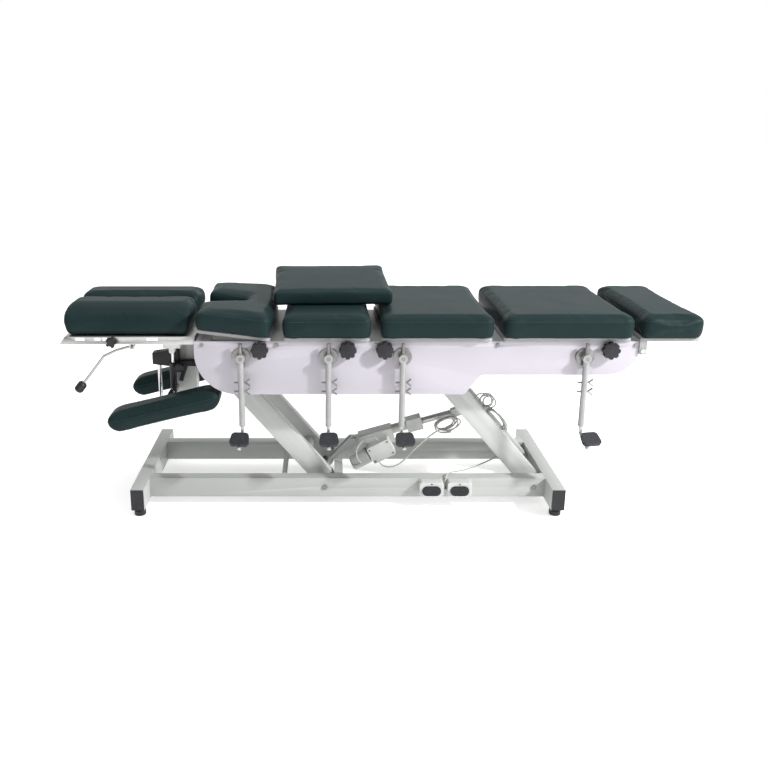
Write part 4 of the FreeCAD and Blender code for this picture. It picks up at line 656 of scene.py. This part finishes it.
# %% Lay the arrows on the switches
ARROW_RADIUS, ARROW_THICK = 0.0045, 0.0005
SWITCH_FACE_Y, ARROW_Z = -221, 96
for name, x, pitch in (("arrow_up", 192.7, 90), ("arrow_down", 289.7, -90)):
    bpy.ops.object.select_all(action="DESELECT")
    bpy.ops.mesh.primitive_circle_add(vertices=3, radius=ARROW_RADIUS, fill_type="NGON",
                                      location=place(x, SWITCH_FACE_Y, ARROW_Z),
                                      rotation=(math.radians(pitch), 0, 0))
    arrow = bpy.context.object
    arrow.name = name
    bpy.ops.object.mode_set(mode="EDIT")
    bpy.ops.mesh.select_all(action="SELECT")
    bpy.ops.mesh.extrude_region_move(TRANSFORM_OT_translate={"value": (0, -ARROW_THICK, 0)})
    bpy.ops.mesh.select_all(action="SELECT")
    bpy.ops.mesh.normals_make_consistent(inside=False)
    bpy.ops.mesh.bevel(offset=ARROW_THICK / 3, segments=1)
    bpy.ops.object.mode_set(mode="OBJECT")
    bpy.ops.object.transform_apply(location=True, rotation=True, scale=True)
    arrow.data.materials.append(black_plastic.material)
    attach(arrow, "base")
    print(name, [round(v, 4) for v in arrow.dimensions])

# %% [markdown]
# ## Upholstery
#
# Each pad is foam under a stretched cover: a crowned form with tight corners. It could be
# modelled by hand with a subdivision surface, but cloth finds the swell by itself. So the CAD
# form is remeshed evenly, taken in a little, and blown up again as cloth under pressure, and
# its faces swell between the edges as a stuffed cover does. Every point's travel is capped,
# and the underside stays flat where it rests.

# %% Blow up one pad
CLOTH_FRAMES, COVER_PRESSURE = 14, 4.0
TAKEN_IN, SWELL_CAP = 0.002, 0.005


def remeshed(node, name, voxel):
    """An even mesh of a CAD pad."""
    piece = merged_copy(node, name)
    grid = piece.modifiers.new("grid", "REMESH")
    grid.mode = "VOXEL"
    grid.voxel_size = voxel
    bpy.ops.object.modifier_apply(modifier=grid.name)
    ease = piece.modifiers.new("ease", "SMOOTH")
    ease.factor = 0.5
    ease.iterations = 2
    bpy.ops.object.modifier_apply(modifier=ease.name)
    return piece


def blown(piece, cap):
    """Swells a pad as cloth, each point by no more than a cap."""
    before = np.empty(len(piece.data.vertices) * 3)
    piece.data.vertices.foreach_get("co", before)
    start_on(piece)
    cloth = piece.modifiers.new("swell", "CLOTH")
    cloth.settings.use_pressure = True
    cloth.settings.uniform_pressure_force = COVER_PRESSURE
    cloth.settings.effector_weights.gravity = 0
    cloth.point_cache.frame_start = 1
    cloth.point_cache.frame_end = CLOTH_FRAMES
    for number in range(1, CLOTH_FRAMES + 1):
        bpy.context.scene.frame_set(number)
    bpy.ops.object.modifier_apply(modifier=cloth.name)
    bpy.context.scene.frame_set(1)
    after = np.empty_like(before)
    piece.data.vertices.foreach_get("co", after)
    before, after = before.reshape(-1, 3), after.reshape(-1, 3)
    travel = after - before
    far = np.linalg.norm(travel, axis=1, keepdims=True)
    travel *= np.minimum(1, cap / np.maximum(far, 1e-9))
    piece.data.vertices.foreach_set("co", (before + travel).ravel())
    piece.data.update()
    print(piece.name, "largest swell", round(float(far.max()) * 1000, 1), "mm")


def taken_in(piece, amount):
    """Moves a pad's surface inwards by an amount."""
    start_on(piece)
    shrink = piece.modifiers.new("take_in", "DISPLACE")
    shrink.strength = -amount
    shrink.mid_level = 0
    bpy.ops.object.modifier_apply(modifier=shrink.name)


def kept_between(piece, low, high, turn):
    """Flattens what passes a lower or upper level, measured in a turned frame."""
    back = turn.inverted()
    for vertex in piece.data.vertices:
        point = turn @ vertex.co
        point.z = min(max(point.z, low), high)
        vertex.co = back @ point


def fitted(piece, node, turn):
    """Stretches a pad a little so that its box is its node's box, in a turned frame."""
    back = turn.inverted()
    count = len(piece.data.vertices)
    now = np.empty(count * 3)
    piece.data.vertices.foreach_get("co", now)
    ahead, behind = np.array(turn), np.array(back)
    points = now.reshape(-1, 3) @ ahead[:3, :3].T + ahead[:3, 3]
    goal = np.array([tuple(turn @ v.co) for v in frame["nodes"][node].data.vertices])
    low, high = points.min(axis=0), points.max(axis=0)
    goal_low, goal_high = goal.min(axis=0), goal.max(axis=0)
    points = goal_low + (points - low) * (goal_high - goal_low) / (high - low)
    piece.data.vertices.foreach_set("co", (points @ behind[:3, :3].T + behind[:3, 3]).ravel())
    piece.data.update()


def smoothed(piece):
    """One subdivision and smooth shading."""
    start_on(piece)
    finer = piece.modifiers.new("finer", "SUBSURF")
    finer.levels = finer.render_levels = 1
    bpy.ops.object.modifier_apply(modifier=finer.name)
    bpy.ops.object.shade_smooth()


def turn_about(x, z, degrees):
    """The rotation about a line along Y through a drawing point."""
    centre = place(x, 0, z)
    return (Matrix.Translation(centre) @ Matrix.Rotation(math.radians(degrees), 4, "Y")
            @ Matrix.Translation(-centre))


# %% [markdown]
# The cover's top panel meets its side panel in a sewn seam. Slicing the finished pad with a
# plane gives the exact line of the seam, and a thin round thread follows it.


# %% Sew a seam
THREAD_RADIUS, THREAD_STEP = 0.0011, 0.0015


def sewn(pad, name, point, normal):
    """A thin raised seam where a plane cuts a pad."""
    ring = bpy.data.objects.new(name, pad.data.copy())
    bpy.context.scene.collection.objects.link(ring)
    ring.data.materials.clear()
    start_on(ring)
    bpy.ops.object.mode_set(mode="EDIT")
    bpy.ops.mesh.select_all(action="SELECT")
    bpy.ops.mesh.bisect(plane_co=point, plane_no=normal)
    bpy.ops.mesh.select_all(action="INVERT")
    bpy.ops.mesh.delete(type="VERT")
    bpy.ops.mesh.select_all(action="SELECT")
    bpy.ops.mesh.delete(type="ONLY_FACE")
    bpy.ops.mesh.select_all(action="SELECT")
    bpy.ops.mesh.remove_doubles(threshold=THREAD_STEP)
    bpy.ops.object.mode_set(mode="OBJECT")
    bpy.ops.object.convert(target="CURVE")
    ring.data.bevel_depth = THREAD_RADIUS
    ring.data.bevel_resolution = 1
    bpy.ops.object.convert(target="MESH")
    bpy.ops.object.shade_smooth()
    ring.data.materials.append(seam_cloth.material)
    return ring


# %% Make every pad
LEVEL = Matrix.Identity(4)
CHEST_TURN = turn_about(-365, 598, -6.9)
ARMREST_TURN = turn_about(-760, 305.5, 14)
PADS = (("abdominal_cushion", "abdominal", 0.007, LEVEL, 0.74),
        ("pelvic_cushion", "pelvic", 0.007, LEVEL, 0.74),
        ("leg_cushion", "leg", 0.007, LEVEL, 0.74),
        ("foot_cushion", "foot", 0.007, LEVEL, 0.74),
        ("chest_cushion", "chest", 0.007, CHEST_TURN, 0.74),
        ("loose_pad", "wedge", 0.007, LEVEL, None),
        ("head_cushion_front", "head", 0.007, LEVEL, None),
        ("head_cushion_rear", "head", 0.007, LEVEL, None),
        ("armrest_pad_front", "armrest_front", 0.006, ARMREST_TURN, 0.60),
        ("armrest_pad_rear", "armrest_rear", 0.006, ARMREST_TURN, 0.60))
for node, body, voxel, turn, seam_share in PADS:
    pad = remeshed(node, node + "_pad", voxel)
    heights = [(turn @ v.co).z for v in frame["nodes"][node].data.vertices]
    low, high = min(heights), max(heights)
    taken_in(pad, TAKEN_IN)
    blown(pad, SWELL_CAP)
    kept_between(pad, low, high, turn)
    smoothed(pad)
    fitted(pad, node, turn)
    pad.data.materials.clear()
    pad.data.materials.append(upholstery.material)
    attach(pad, body)
    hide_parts(node)
    if seam_share is not None:
        back = turn.inverted()
        level = low + (high - low) * seam_share
        point = back @ Vector((0, 0, level))
        seam = sewn(pad, node + "_seam", point, back.to_3x3() @ Vector((0, 0, 1)))
        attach(seam, body)
    print(node, len(pad.data.polygons), "faces")
